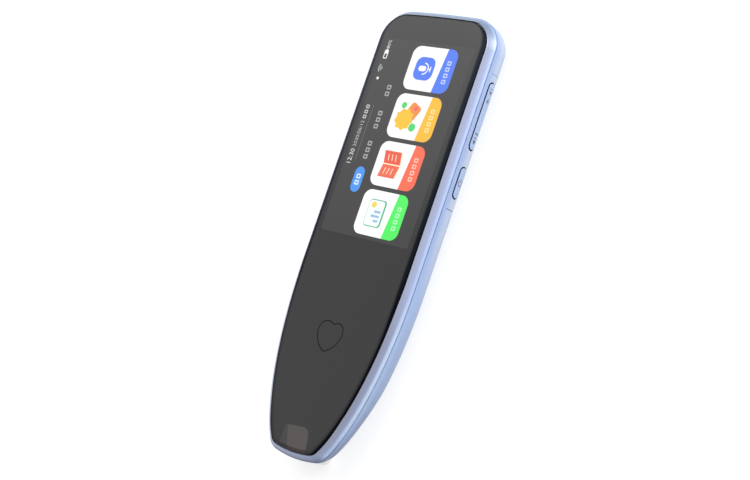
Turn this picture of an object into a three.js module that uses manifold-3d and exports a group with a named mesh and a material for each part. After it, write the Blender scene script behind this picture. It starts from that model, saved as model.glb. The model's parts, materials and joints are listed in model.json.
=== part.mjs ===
// A handheld scanning dictionary pen in millimetres, lying on its back with the screen up.
// +Y points away from the scanning tip, +X to the side with the buttons, and the back's flat rests on z = 0.
import * as THREE from 'three';
import { mergeVertices } from 'three/addons/utils/BufferGeometryUtils.js';
import Module from 'manifold-3d';

const wasm = await Module();
wasm.setup();

// Overall sizes of the case
const caseLength = 140.6;
const caseWidth = 45;
const caseDepth = 12.05;
const noseOverhang = 0.55;

// Outline of the face: a straight upper part, then a long taper to the tip
const straightLength = 80.7;
const taperReachShare = 1.0725;
const topCornerRadius = 8.6;
const topBowRadius = 90;
const tipCornerRadius = 3.6;
const tipBowRadius = 36;
const tipRimShare = 0.68;

// Bezel, parting lines and the rounded back
const bezelWidth = 2.2;
const bezelDrop = 2.6;
const bezelBulgeShare = 0.22;
const bandHeight = 1.68;
const partingGap = 0.2;
const backFilletWidth = 7.6;
const backFilletHeight = 6.6;
const backTipReach = 8;
const flatTaperShare = 0.963;
const flatCornerRadius = 3.2;

// Walls and running clearances
const sideWall = 1.5;
const floorWall = 1.2;
const seatGap = 0.1;
const runningGap = 0.3;
const keyGap = 0.25;
const overrun = 2;

// Cover glass
const glassThickness = 1.1;
const glassRise = 0.35;
const glassGap = 0.25;
const glassEdgeInset = 1.5;
const glassEdgeDrop = 0.45;

// Front frame: ledge, plate and skirt
const ledgeWidth = 1.6;
const plateThickness = 1;
const plateDrop = 0.45;
const skirtThickness = 1.2;
const skirtDepth = 1.2;
const bossRadius = 1.7;

// Display stack
const screenLength = 61.9;
const screenSideMargin = 2.9;
const screenTopMargin = 8.28;
const panelBorder = 0.85;
const panelTerminalBorder = 3.4;
const panelThickness = 1.65;
const backlightThickness = 0.9;
const backlightInset = 0.3;

// Touch pad below the screen
const padRadius = 5.4;
const padThickness = 0.3;
const padFromTop = 100.6;

// Button strip and keys on the +X side
const stripLength = 41.6;
const stripFromTop = 36.9;
const stripDepth = 6.5;
const stripCornerRadius = 2;
const keyDepth = 3.3;
const keyWidth = 2.6;
const keyProud = 0.25;
const rockerLength = 21;
const rockerFromTop = 29.3;
const powerLength = 9.5;
const powerFromTop = 49.9;
const flangeRim = 0.4;
const flangeThickness = 0.6;
const flangeRecess = 2.55;
const plungerHeight = 0.3;
const plungerRadius = 0.8;
const rockerPlungerShare = 0.62;
const rockerPivotWidth = 1.4;

// Key switches and their board
const switchSize = 3.2;
const switchHeight = 0.9;
const switchStemHeight = 0.35;
const keyBoardThickness = 0.6;
const keyBoardWidth = 3.6;
const keyBoardMargin = 2.5;

// Speaker grille and camera on the back
const holePitch = 2.8;
const holeRadius = 0.72;
const dimpleDepth = 0.3;
const cameraFromTop = 26.83;
const cameraRadius = 3.75;
const cameraWindowRadius = 2.7;
const cameraWindowThickness = 0.6;
const cameraRingHeight = 2.1;
const cameraBarrelRadius = 3.1;
const cameraBarrelHeight = 1.5;
const cameraBaseSize = 8.4;
const speakerWidth = 18;
const speakerLength = 11;
const meshThickness = 0.3;
const meshMargin = 0.6;

// Inner pieces
const boardThickness = 0.8;
const boardDrop = 0.5;
const boardInset = 4.5;
const boardTopMargin = 7.6;
const boardLength = 108;
const batteryWidth = 26;
const batteryLength = 46;
const batteryCorner = 2.4;
const screwRadius = 0.7;
const screwHeadRadius = 1.4;
const screwHeadHeight = 0.6;
const upperScrewInset = 3.05;
const screwBelowBattery = 8;
const lowerScrewInset = 6.05;
const screwRowPitch = 17;

// Charging socket and microphone in the top end
const portWidth = 8.94;
const portHeight = 3.2;
const portLength = 7.3;
const portWall = 0.3;
const portTongueWidth = 6.6;
const portTongueHeight = 0.7;
const portStripHalfWidth = 8.6;
const micWidth = 2.6;
const micLength = 1.8;
const micHeight = 1.2;
const micPinholeRadius = 0.5;

// Scanning nose
const noseHalfWidth = 5.8;
const noseLength = 14.7;
const noseCornerRadius = 2;
const noseRimWidth = 0.85;
const noseWall = 1.6;
const noseTravelGap = 0.4;
const windowHalfWidth = 4.55;
const windowTopInset = 1.75;
const windowCornerRadius = 0.9;
const windowRise = 3.3;
const windowThickness = 0.9;
const pushRodWidth = 1.3;
const pushRodHeight = 1.4;
const pushRodLength = 8.5;

// Scanner behind the nose
const lightBoardWidth = 6.4;
const lightBoardThickness = 0.8;
const lightHoleRadius = 1.9;
const scanLensRadius = 1.8;
const scanLensLength = 4.5;
const scanBodyWidth = 7.6;
const scanBodyLength = 12;
const noseSwitchWidth = 3.4;
const noseSwitchLength = 2.2;
const noseSwitchHeight = 2.8;

// Facets of the curved outlines and of round pieces
const topSteps = 3;
const cornerSteps = 7;
const taperSteps = 14;
const tipCornerSteps = 5;
const tipSteps = 3;
const filletSteps = 6;
const bezelSteps = 4;
const plugSteps = 2;
const roundSides = 12;
const holeSides = 10;
const dimpleSides = 8;
const discSides = 28;

// Heights, counted from the flat of the back
const glassTopZ = caseDepth;
const glassBottomZ = glassTopZ - glassThickness;
const lipZ = glassTopZ - glassRise;
const frontPartingZ = lipZ - bezelDrop;
const rearPartingZ = frontPartingZ - bandHeight;
const ledgeZ = glassBottomZ - seatGap;
const plateZ = glassBottomZ - plateDrop;
const skirtZ = frontPartingZ - skirtDepth;
const panelTopZ = glassBottomZ - seatGap;
const backlightTopZ = panelTopZ - panelThickness - seatGap;
const backlightBottomZ = backlightTopZ - backlightThickness;
const boardTopZ = backlightBottomZ - boardDrop;
const boardBottomZ = boardTopZ - boardThickness;
const innerTopZ = boardBottomZ - runningGap;
const innerFloorZ = floorWall + runningGap;

// Places across and along the case
const rimReach = glassGap + bezelWidth;
const glassHalfWidth = caseWidth / 2 - rimReach;
const caseTopY = caseLength / 2;
const noseTipY = -caseLength / 2;
const caseTipY = noseTipY + noseOverhang;
const glassTopY = caseTopY - rimReach;
const glassTipY = caseTipY + rimReach * tipRimShare;
const taperY = glassTopY - straightLength;
const sideX = caseWidth / 2;

// Solids and meshes

function solidOf(geometry) {
  const bare = geometry.clone();
  for (const name of Object.keys(bare.attributes)) {
    if (name !== 'position') bare.deleteAttribute(name);
  }
  const merged = mergeVertices(bare);
  const mesh = new wasm.Mesh({
    numProp: 3,
    vertProperties: new Float32Array(merged.attributes.position.array),
    triVerts: new Uint32Array(merged.index.array),
  });
  return new wasm.Manifold(mesh);
}

function geometryOf(solid) {
  const mesh = solid.getMesh();
  const geometry = new THREE.BufferGeometry();
  geometry.setAttribute('position', new THREE.BufferAttribute(mesh.vertProperties, 3));
  geometry.setIndex(new THREE.BufferAttribute(mesh.triVerts, 1));
  geometry.computeVertexNormals();
  return geometry;
}

function geometryFrom(vertices, triangles) {
  const geometry = new THREE.BufferGeometry();
  geometry.setAttribute('position', new THREE.Float32BufferAttribute(vertices.flat(), 3));
  geometry.setIndex(triangles.flat());
  return geometry;
}

// Loops of equal length, from the lowest up, joined by walls and closed by a cap at each end.
function loft(loops) {
  const count = loops[0].length;
  const triangles = [];
  for (let k = 0; k + 1 < loops.length; k += 1) {
    for (let i = 0; i < count; i += 1) {
      const j = (i + 1) % count;
      const [a, b, c, d] = [k * count + i, k * count + j, (k + 1) * count + j, (k + 1) * count + i];
      triangles.push([a, b, c], [a, c, d]);
    }
  }
  const top = (loops.length - 1) * count;
  for (const [a, b, c] of THREE.ShapeUtils.triangulateShape(flat(loops[0]), [])) triangles.push([a, c, b]);
  for (const [a, b, c] of THREE.ShapeUtils.triangulateShape(flat(loops.at(-1)), [])) {
    triangles.push([top + a, top + b, top + c]);
  }
  return solidOf(geometryFrom(loops.flat(), triangles));
}

// Loops joined by walls all the way round: down the outside of the ring's section, then up its inside.
function ringOf(loops) {
  const count = loops[0].length;
  const triangles = [];
  for (let k = 0; k < loops.length; k += 1) {
    const next = (k + 1) % loops.length;
    for (let i = 0; i < count; i += 1) {
      const j = (i + 1) % count;
      const [a, b, c, d] = [k * count + i, k * count + j, next * count + j, next * count + i];
      triangles.push([a, c, b], [a, d, c]);
    }
  }
  return solidOf(geometryFrom(loops.flat(), triangles));
}

function flat(loop) {
  return loop.map(([x, y]) => new THREE.Vector2(x, y));
}

function box(x0, x1, y0, y1, z0, z1) {
  const geometry = new THREE.BoxGeometry(x1 - x0, y1 - y0, z1 - z0);
  geometry.translate((x0 + x1) / 2, (y0 + y1) / 2, (z0 + z1) / 2);
  return solidOf(geometry);
}

// An upright cylinder from one height to another.
function post(x, y, radius, z0, z1, sides) {
  const geometry = new THREE.CylinderGeometry(radius, radius, z1 - z0, sides);
  geometry.rotateX(Math.PI / 2);
  geometry.translate(x, y, (z0 + z1) / 2);
  return solidOf(geometry);
}

// A rectangle with rounded corners, centred on the origin.
function roundedRectangle(width, height, radius) {
  const [w, h] = [width / 2, height / 2];
  const r = Math.min(radius, w, h);
  const shape = new THREE.Shape();
  shape.absarc(w - r, h - r, r, 0, Math.PI / 2, false);
  shape.absarc(r - w, h - r, r, Math.PI / 2, Math.PI, false);
  shape.absarc(r - w, r - h, r, Math.PI, 1.5 * Math.PI, false);
  shape.absarc(w - r, r - h, r, 1.5 * Math.PI, 2 * Math.PI, false);
  return shape;
}

function extrude(shape, depth) {
  return new THREE.ExtrudeGeometry(shape, { depth, bevelEnabled: false, curveSegments: plugSteps });
}

// A rounded rectangle of the side wall, pushed along X; width runs along Y and height along Z.
function sidePlug(y, z, width, height, radius, x0, x1) {
  const geometry = extrude(roundedRectangle(width, height, radius), x1 - x0);
  geometry.rotateX(Math.PI / 2);
  geometry.rotateZ(Math.PI / 2);
  geometry.translate(x0, y, z);
  return solidOf(geometry);
}

// A rounded rectangle of the top end's wall, pushed along Y.
function endPlug(x, z, width, height, radius, y0, y1) {
  const geometry = extrude(roundedRectangle(width, height, radius), y1 - y0);
  geometry.rotateX(Math.PI / 2);
  geometry.translate(x, y1, z);
  return solidOf(geometry);
}

// A rounded rectangle seen from above, pushed along Z.
function topPlug(x, y, width, length, radius, z0, z1) {
  const geometry = extrude(roundedRectangle(width, length, radius), z1 - z0);
  geometry.translate(x, y, z0);
  return solidOf(geometry);
}

// Outline of the face and of the flat back

function arc(points, cx, cy, radius, from, to, steps, first) {
  for (let i = first; i <= steps; i += 1) {
    const angle = from + ((to - from) * i) / steps;
    const [nx, ny] = [Math.cos(angle), Math.sin(angle)];
    points.push({ x: cx + radius * nx, y: cy + radius * ny, nx, ny });
  }
}

function taperPoint(width, startY, length, angle) {
  const [x, y] = [width * Math.cos(angle), startY - length * Math.sin(angle)];
  const slope = Math.hypot(Math.cos(angle) / width, Math.sin(angle) / length);
  return { x, y, nx: Math.cos(angle) / width / slope, ny: -Math.sin(angle) / length / slope };
}

// The right half from the top's middle to the tip's middle, then the left half back up.
// Bowed ends, round corners, straight sides, and a quarter ellipse down to the tip's corners.
function outline(halfWidth, topY, cornerRadius, tipY, tipRadius, taperReach) {
  const points = [];
  const topCentreY = topY - topBowRadius;
  const cornerX = halfWidth - cornerRadius;
  const cornerY = topCentreY + Math.sqrt((topBowRadius - cornerRadius) ** 2 - cornerX ** 2);
  const lean = Math.atan2(cornerY - topCentreY, cornerX);
  arc(points, 0, topCentreY, topBowRadius, Math.PI / 2, lean, topSteps, 0);
  arc(points, cornerX, cornerY, cornerRadius, lean, 0, cornerSteps, 1);

  const tipCentreY = tipY + tipBowRadius;
  const cornerAt = (angle) => {
    const p = taperPoint(halfWidth, taperY, taperReach, angle);
    return { p, x: p.x - tipRadius * p.nx, y: p.y - tipRadius * p.ny };
  };
  let [low, high] = [0, Math.PI / 2];
  for (let k = 0; k < 60; k += 1) {
    const middle = (low + high) / 2;
    const c = cornerAt(middle);
    if (Math.hypot(c.x, c.y - tipCentreY) < tipBowRadius - tipRadius) low = middle;
    else high = middle;
  }
  for (let i = 0; i <= taperSteps; i += 1) {
    points.push(taperPoint(halfWidth, taperY, taperReach, (low * i) / taperSteps));
  }
  const corner = cornerAt(low);
  const from = Math.atan2(corner.p.ny, corner.p.nx);
  const to = Math.atan2(corner.y - tipCentreY, corner.x);
  arc(points, corner.x, corner.y, tipRadius, from, to, tipCornerSteps, 1);
  arc(points, 0, tipCentreY, tipBowRadius, to, -Math.PI / 2, tipSteps, 1);

  const left = points.slice(1, -1).map((p) => ({ x: -p.x, y: p.y, nx: -p.nx, ny: p.ny }));
  return [...points, ...left.reverse()].reverse();
}

const face = outline(glassHalfWidth, glassTopY, topCornerRadius, glassTipY, tipCornerRadius,
  (taperY - glassTipY) * taperReachShare);
const backFlat = outline(sideX - backFilletWidth, caseTopY - backFilletWidth, flatCornerRadius + seatGap,
  caseTipY + backTipReach, flatCornerRadius, (taperY - glassTipY) * taperReachShare * flatTaperShare);

// The rim narrows towards the tip, by this share of its width.
function rimShare(y) {
  const reach = Math.min(Math.max((taperY - y) / (taperY - glassTipY), 0), 1);
  return 1 - (1 - tipRimShare) * reach * reach;
}

// The face's outline moved outwards, or inwards where out is negative, at a height.
function rimLoop(out, z) {
  return face.map((p) => {
    const move = out * rimShare(p.y);
    return [p.x + p.nx * move, p.y + p.ny * move, z];
  });
}

// Part of the way from a rim loop in to the back's flat.
function filletLoop(out, z, inShare) {
  return rimLoop(out, z).map(([x, y], i) => [
    x + (backFlat[i].x - x) * inShare,
    y + (backFlat[i].y - y) * inShare,
    z,
  ]);
}

// The rounded lower case as one solid, from a floor up to a height.
function caseBody(out, floorZ, topZ) {
  const loops = [];
  for (let k = filletSteps; k >= 0; k -= 1) {
    const angle = (k / filletSteps) * (Math.PI / 2);
    const z = floorZ + (backFilletHeight - floorZ) * (1 - Math.sin(angle));
    loops.push(filletLoop(out, z, 1 - Math.cos(angle)));
  }
  loops.push(rimLoop(out, topZ));
  return loft(loops);
}

const outerBody = caseBody(rimReach, 0, frontPartingZ);
const keyBody = caseBody(rimReach + keyProud, 0, frontPartingZ);
const innerBody = caseBody(rimReach - sideWall, floorWall, frontPartingZ + overrun);
const lowerShell = outerBody.subtract(innerBody);

function below(z) {
  return box(-caseWidth, caseWidth, -caseLength, caseLength, -overrun, z);
}

// Cover glass: flat, with its upper edge rounded over
function makeCoverGlass() {
  const loops = [rimLoop(0, glassBottomZ)];
  for (let k = 0; k <= bezelSteps; k += 1) {
    const angle = (k / bezelSteps) * (Math.PI / 2);
    const out = -glassEdgeInset * (1 - Math.cos(angle));
    loops.push(rimLoop(out, glassTopZ - glassEdgeDrop * (1 - Math.sin(angle))));
  }
  return loft(loops);
}

// Front frame: sloping bezel, ledge for the glass, skirt inside the band and a plate below the screen
const panelTopY = glassTopY - screenTopMargin + panelBorder;
const panelBottomY = panelTopY - panelBorder - screenLength - panelTerminalBorder;
const panelHalfWidth = glassHalfWidth - screenSideMargin + panelBorder;
const skirtOut = rimReach - sideWall - runningGap;

// The board's screws stand in two rows below the battery, at its two edges.
const cameraY = caseTopY - cameraFromTop;
const batteryTopY = cameraY - cameraBaseSize / 2 - sideWall;
const batteryBottomY = batteryTopY - batteryLength;
const upperScrewX = glassHalfWidth - boardInset - upperScrewInset;
const upperScrewY = batteryBottomY - screwBelowBattery;
const lowerScrewX = glassHalfWidth - boardInset - lowerScrewInset;
const lowerScrewY = upperScrewY - screwRowPitch;
const screwPlaces = [
  [upperScrewX, upperScrewY],
  [-upperScrewX, upperScrewY],
  [lowerScrewX, lowerScrewY],
  [-lowerScrewX, lowerScrewY],
];

function makeFrontFrame() {
  const section = [];
  for (let k = 0; k <= bezelSteps; k += 1) {
    const share = k / bezelSteps;
    const bulge = bezelBulgeShare * Math.sin(Math.PI * share);
    section.push([glassGap + bezelWidth * Math.min(share + bulge / 2, 1),
      lipZ - (bezelDrop - partingGap / 2) * Math.max(share - bulge / 2, 0)]);
  }
  section.push([skirtOut, frontPartingZ + partingGap / 2]);
  section.push([skirtOut, skirtZ]);
  section.push([skirtOut - skirtThickness, skirtZ]);
  section.push([skirtOut - skirtThickness, plateZ - plateThickness]);
  section.push([-ledgeWidth, plateZ - plateThickness]);
  section.push([-ledgeWidth, ledgeZ]);
  section.push([glassGap, ledgeZ]);
  const ring = ringOf(section.map(([out, z]) => rimLoop(out, z)));
  const plate = loft([rimLoop(-ledgeWidth / 2, plateZ - plateThickness), rimLoop(-ledgeWidth / 2, plateZ)]);
  const window = box(-panelHalfWidth - runningGap, panelHalfWidth + runningGap,
    panelBottomY - runningGap, panelTopY + runningGap, skirtZ, glassTopZ);
  let frame = ring.add(plate).subtract(window);
  for (const [x, y] of screwPlaces) {
    const boss = post(x, y, bossRadius, boardTopZ + seatGap, plateZ - plateThickness / 2, roundSides);
    frame = frame.add(boss);
    frame = frame.subtract(post(x, y, screwRadius + seatGap, boardTopZ, plateZ - plateThickness / 2, roundSides));
  }
  return frame;
}

// Button strip: where the band widens towards the back and holds the keys
const stripY = caseTopY - stripFromTop;
const stripTopZ = frontPartingZ;
const stripBottomZ = frontPartingZ - stripDepth;
const keyZ = frontPartingZ - keyDepth;
const rockerY = caseTopY - rockerFromTop;
const powerY = caseTopY - powerFromTop;
const flangeX = sideX - flangeRecess;

function stripPlug(grow) {
  return sidePlug(stripY, (stripTopZ + stripBottomZ) / 2, stripLength + 2 * grow,
    stripTopZ - stripBottomZ + 2 * grow, stripCornerRadius + grow, 0, sideX + overrun);
}

const portY = caseTopY - sideWall / 2;
const portTopZ = boardBottomZ - seatGap;
const portZ = portTopZ - portHeight / 2;
const portStripBottomZ = portZ - portHeight / 2 - sideWall / 2;
const micX = portWidth / 2 + micWidth / 2 + 2 * runningGap;

function portPlug(grow) {
  return endPlug(0, (stripTopZ + portStripBottomZ) / 2, 2 * (portStripHalfWidth + grow),
    stripTopZ - portStripBottomZ + 2 * grow, stripCornerRadius + grow, 0, caseTopY + overrun);
}

// A U seen from above, round the nose and out past the tip.
const noseTopY = noseTipY + noseLength;
function noseShape(grow) {
  const half = noseHalfWidth + grow;
  const top = noseTopY + grow;
  const bottom = noseTipY - overrun;
  return topPlug(0, (top + bottom - noseCornerRadius) / 2, 2 * half, top - bottom + noseCornerRadius,
    noseCornerRadius + grow, -overrun, frontPartingZ);
}

function makeMidFrame() {
  const innerOut = rimReach - sideWall;
  const bandTop = frontPartingZ - partingGap / 2;
  const bandBottom = rearPartingZ + partingGap / 2;
  const shelfZ = skirtZ - runningGap;
  const section = [
    [rimReach, bandTop], [rimReach, bandBottom], [skirtOut, bandBottom],
    [skirtOut, bandBottom - skirtDepth], [skirtOut - skirtThickness, bandBottom - skirtDepth],
    [skirtOut - skirtThickness, shelfZ], [innerOut, shelfZ], [innerOut, bandTop],
  ];
  const shell = lowerShell.intersect(below(bandTop));
  const pocket = box(flangeX - flangeThickness - runningGap, sideX - sideWall - seatGap,
    stripY - stripLength / 2, stripY + stripLength / 2, 0, skirtZ - seatGap);
  let frame = ringOf(section.map(([out, z]) => rimLoop(out, z))).subtract(pocket);
  frame = frame.subtract(box(-portStripHalfWidth, portStripHalfWidth, portY - portLength,
    caseTopY - sideWall - seatGap, 0, skirtZ - seatGap));
  frame = frame.subtract(noseShape(0).intersect(below(bandBottom)));
  frame = frame.add(shell.intersect(stripPlug(0)));
  frame = frame.add(shell.intersect(portPlug(0)));
  frame = frame.add(shell.intersect(noseShape(noseRimWidth).subtract(noseShape(0))));
  for (const [y, length] of [[rockerY, rockerLength], [powerY, powerLength]]) {
    frame = frame.subtract(sidePlug(y, keyZ, length + 2 * keyGap, keyWidth + 2 * keyGap,
      caseWidth, flangeX - overrun, sideX + overrun));
  }
  const pinhole = new THREE.CylinderGeometry(micPinholeRadius, micPinholeRadius, 2 * sideWall + overrun, roundSides);
  pinhole.translate(micX, caseTopY - sideWall / 2, portZ);
  frame = frame.subtract(solidOf(pinhole));
  return frame.subtract(endPlug(0, portZ, portWidth + 2 * seatGap, portHeight + 2 * seatGap, caseWidth,
    portY - portLength, caseTopY + overrun));
}

// Rear cover: shell with the speaker's holes, a ring of dimples, the camera's hole and the nose's notch
const holeRowCounts = [5, 6, 7, 6];
const firstHoleRow = 6;
const dimpleRowCount = 4;
// Steps of the ring of dimples on the triangular grid, each run as [steps along, steps down, count].
const dimpleRuns = [[1, 0, 4], [1, 1, 2], [0, 1, 3], [-1, 0, 3], [-1, -1, 3], [0, -1, 2]];

function gridPlace(along, down) {
  return [holePitch * (along - down / 2), cameraY - holePitch * Math.sqrt(0.75) * down];
}

function grillePlaces() {
  const holes = [];
  const dimples = [];
  holeRowCounts.forEach((count, row) => {
    const down = row - firstHoleRow;
    for (let i = 0; i < count; i += 1) holes.push([holePitch * (i - (count - 1) / 2), gridPlace(0, down)[1]]);
  });
  for (let i = 0; i < dimpleRowCount; i += 1) {
    dimples.push([holePitch * (i - (dimpleRowCount - 1) / 2), gridPlace(0, -firstHoleRow - 1)[1]]);
  }
  let [along, down] = [-3, -2];
  for (const [stepAlong, stepDown, count] of dimpleRuns) {
    for (let i = 0; i < count; i += 1) {
      dimples.push(gridPlace(along, down));
      along += stepAlong;
      down += stepDown;
    }
  }
  return { holes, dimples };
}

function makeRearCover() {
  const { holes, dimples } = grillePlaces();
  let cover = lowerShell.intersect(below(rearPartingZ - partingGap / 2));
  cover = cover.subtract(stripPlug(partingGap)).subtract(portPlug(partingGap));
  cover = cover.subtract(noseShape(noseRimWidth + partingGap));
  const cuts = [post(0, cameraY, cameraRadius + seatGap, -overrun, floorWall + overrun, discSides)];
  for (const [x, y] of holes) cuts.push(post(x, y, holeRadius, -overrun, floorWall + overrun, holeSides));
  for (const [x, y] of dimples) cuts.push(post(x, y, holeRadius, -overrun, dimpleDepth, dimpleSides));
  return cover.subtract(wasm.Manifold.union(cuts));
}

// Keys: a cap cut just proud of the case's surface, a flange inside the wall and plungers on the switches
function makeKey(y, length, plungerYs) {
  const cap = sidePlug(y, keyZ, length, keyWidth, caseWidth, flangeX - flangeThickness, sideX + overrun);
  const flange = sidePlug(y, keyZ, length + 2 * flangeRim, keyWidth + 2 * flangeRim, caseWidth,
    flangeX - flangeThickness, flangeX);
  let key = cap.intersect(keyBody).add(flange);
  for (const plungerY of plungerYs) {
    key = key.add(sidePlug(plungerY, keyZ, 2 * plungerRadius, 2 * plungerRadius, plungerRadius,
      flangeX - flangeThickness - plungerHeight, flangeX - flangeThickness / 2));
  }
  return key;
}

const rockerReach = (rockerLength / 2) * rockerPlungerShare;
const switchTopX = flangeX - flangeThickness - plungerHeight - runningGap;
const switchBodyX = switchTopX - switchStemHeight;
const keyBoardX = switchBodyX - switchHeight;

function makeSwitch(y) {
  const body = sidePlug(y, keyZ, switchSize, switchSize, seatGap, keyBoardX, switchBodyX);
  const stem = sidePlug(y, keyZ, 2 * plungerRadius, 2 * plungerRadius, plungerRadius,
    switchBodyX - seatGap, switchTopX);
  return body.add(stem);
}

function makeKeyBoard() {
  const top = rockerY + rockerLength / 2 + keyBoardMargin;
  const bottom = powerY - powerLength / 2 - keyBoardMargin;
  const plate = sidePlug((top + bottom) / 2, keyZ, top - bottom, keyBoardWidth, sideWall,
    keyBoardX - seatGap - keyBoardThickness, keyBoardX - seatGap);
  const rest = box(keyBoardX - seatGap - keyBoardThickness, flangeX - flangeThickness - runningGap - seatGap,
    rockerY - rockerPivotWidth / 2, rockerY + rockerPivotWidth / 2, keyZ - rockerPivotWidth / 2,
    keyZ + rockerPivotWidth / 2);
  return plate.add(rest);
}

// Display stack and touch pad under the glass
function makePanel() {
  return box(-panelHalfWidth, panelHalfWidth, panelBottomY, panelTopY, panelTopZ - panelThickness, panelTopZ);
}

function makeBacklight() {
  return box(-panelHalfWidth + backlightInset, panelHalfWidth - backlightInset,
    panelBottomY + backlightInset, panelTopY - backlightInset, backlightBottomZ, backlightTopZ);
}

const padY = glassTopY - padFromTop;
function makeTouchPad() {
  return post(0, padY, padRadius, glassBottomZ - seatGap - padThickness, glassBottomZ - seatGap, discSides);
}

// Main board: it follows the case's outline and hangs from the bosses by four screws
function makeMainBoard() {
  const board = loft([rimLoop(-boardInset, boardBottomZ), rimLoop(-boardInset, boardTopZ)]);
  const top = glassTopY - boardTopMargin;
  let cut = board.intersect(box(-caseWidth, caseWidth, top - boardLength, top, 0, caseDepth));
  for (const [x, y] of screwPlaces) {
    cut = cut.subtract(post(x, y, screwRadius + seatGap, boardBottomZ - overrun, boardTopZ + overrun, roundSides));
  }
  return cut;
}

function makeScrew(x, y) {
  const head = post(x, y, screwHeadRadius, boardBottomZ - seatGap - screwHeadHeight, boardBottomZ - seatGap,
    roundSides);
  const shank = post(x, y, screwRadius, boardBottomZ - seatGap - screwHeadHeight / 2,
    plateZ - plateThickness / 2 - seatGap, roundSides);
  return head.add(shank);
}

// Camera on the back: ring, window and module
function makeCameraRing() {
  const ring = post(0, cameraY, cameraRadius, 0, cameraRingHeight, discSides);
  const seatZ = cameraWindowThickness + seatGap;
  return ring
    .subtract(post(0, cameraY, cameraWindowRadius + seatGap, -overrun, seatZ + seatGap, discSides))
    .subtract(post(0, cameraY, cameraWindowRadius - floorWall / 2, -overrun, cameraRingHeight + overrun, discSides));
}

function makeCameraWindow() {
  return post(0, cameraY, cameraWindowRadius, seatGap, seatGap + cameraWindowThickness, discSides);
}

function makeCameraModule() {
  const barrelZ = cameraRingHeight + runningGap;
  const half = cameraBaseSize / 2;
  const barrel = post(0, cameraY, cameraBarrelRadius, barrelZ, barrelZ + cameraBarrelHeight, discSides);
  const base = box(-half, half, cameraY - half, cameraY + half, barrelZ + cameraBarrelHeight - seatGap, innerTopZ);
  return barrel.add(base);
}

// Speaker and its dust mesh behind the holes
const speakerY = gridPlace(0, (holeRowCounts.length - 1) / 2 - firstHoleRow)[1];
const meshZ = floorWall + seatGap;
function makeSpeakerMesh() {
  const half = (speakerWidth + 2 * meshMargin) / 2;
  const reach = speakerLength / 2;
  return box(-half, half, speakerY - reach, speakerY + reach, meshZ, meshZ + meshThickness);
}

function makeSpeaker() {
  return topPlug(0, speakerY, speakerWidth, speakerLength, batteryCorner, meshZ + meshThickness + seatGap, innerTopZ);
}

function makeBattery() {
  return topPlug(0, (batteryTopY + batteryBottomY) / 2, batteryWidth, batteryLength, batteryCorner,
    innerFloorZ, innerTopZ);
}

// Charging socket: a rounded metal shell with its tongue, under the board at the top end
function makePortShell() {
  const shell = endPlug(0, portZ, portWidth, portHeight, portHeight / 2, portY - portLength, portY);
  const bore = endPlug(0, portZ, portWidth - 2 * portWall, portHeight - 2 * portWall, portHeight / 2,
    portY - portLength + portWall, portY + overrun);
  return shell.subtract(bore);
}

function makePortTongue() {
  const half = portTongueWidth / 2;
  return box(-half, half, portY - portLength + portWall + seatGap, portY - sideWall,
    portZ - portTongueHeight / 2, portZ + portTongueHeight / 2);
}

function makeMicrophone() {
  const frontY = portY - sideWall;
  return box(micX - micWidth / 2, micX + micWidth / 2, frontY - micLength, frontY,
    boardBottomZ - seatGap - micHeight, boardBottomZ - seatGap);
}

// Scanning nose: a ring that follows the case's surface, moved out past the tip, with the window in it
const windowTopY = noseTopY - windowTopInset;
function noseShell(wall) {
  const outer = outerBody.translate([0, -noseOverhang, 0]);
  const inner = caseBody(rimReach - wall, wall, frontPartingZ + overrun).translate([0, -noseOverhang, 0]);
  return outer.subtract(inner);
}

function windowPlug(grow) {
  const top = windowTopY + grow;
  const bottom = noseTipY - overrun;
  return topPlug(0, (top + bottom) / 2, 2 * (windowHalfWidth + grow), top - bottom, windowCornerRadius + grow,
    -overrun, windowRise + grow);
}

function noseInside() {
  const half = noseHalfWidth - keyGap;
  const top = noseTopY - noseTravelGap;
  const bottom = noseTipY - overrun;
  return topPlug(0, (top + bottom) / 2, 2 * half, top - bottom, noseCornerRadius - keyGap, -overrun,
    rearPartingZ - keyGap);
}

const rodX = noseHalfWidth - keyGap - pushRodWidth;
const rodZ = floorWall + noseWall;
const rodBottomY = noseTopY - noseTravelGap - windowTopInset;
const rodTopY = rodBottomY + pushRodLength;

function makeNoseRing() {
  const ring = noseShell(noseWall).intersect(noseInside());
  const rod = box(rodX, rodX + pushRodWidth, rodBottomY, rodTopY, floorWall + seatGap, rodZ + pushRodHeight);
  return ring.subtract(windowPlug(seatGap)).add(rod);
}

function makeScanWindow() {
  return noseShell(windowThickness).intersect(windowPlug(0)).intersect(noseInside());
}

// Scanner: lit board with a hole for the lens, camera body and the switch that the nose presses
const lightBoardY = noseTopY + runningGap;
const scanZ = (innerFloorZ + innerTopZ) / 2;
function yPost(y0, y1, radius, sides) {
  const geometry = new THREE.CylinderGeometry(radius, radius, y1 - y0, sides);
  geometry.translate(0, (y0 + y1) / 2, scanZ);
  return solidOf(geometry);
}

function makeLightBoard() {
  const half = lightBoardWidth / 2;
  const plate = box(-half, half, lightBoardY, lightBoardY + lightBoardThickness, innerFloorZ, innerTopZ);
  return plate.subtract(yPost(lightBoardY - overrun, lightBoardY + overrun, lightHoleRadius, roundSides));
}

function makeScanCamera() {
  const lensY = lightBoardY + lightBoardThickness + runningGap;
  const bodyY = lensY + scanLensLength;
  const half = scanBodyWidth / 2;
  const body = box(-half, half, bodyY, bodyY + scanBodyLength, innerFloorZ, innerTopZ);
  return body.add(yPost(lensY, bodyY + seatGap, scanLensRadius, roundSides * 2));
}

function makeNoseSwitch() {
  const y = rodTopY + runningGap;
  return box(rodX, rodX + noseSwitchWidth, y, y + noseSwitchLength, innerFloorZ,
    innerFloorZ + noseSwitchHeight);
}

// Finishes

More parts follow.
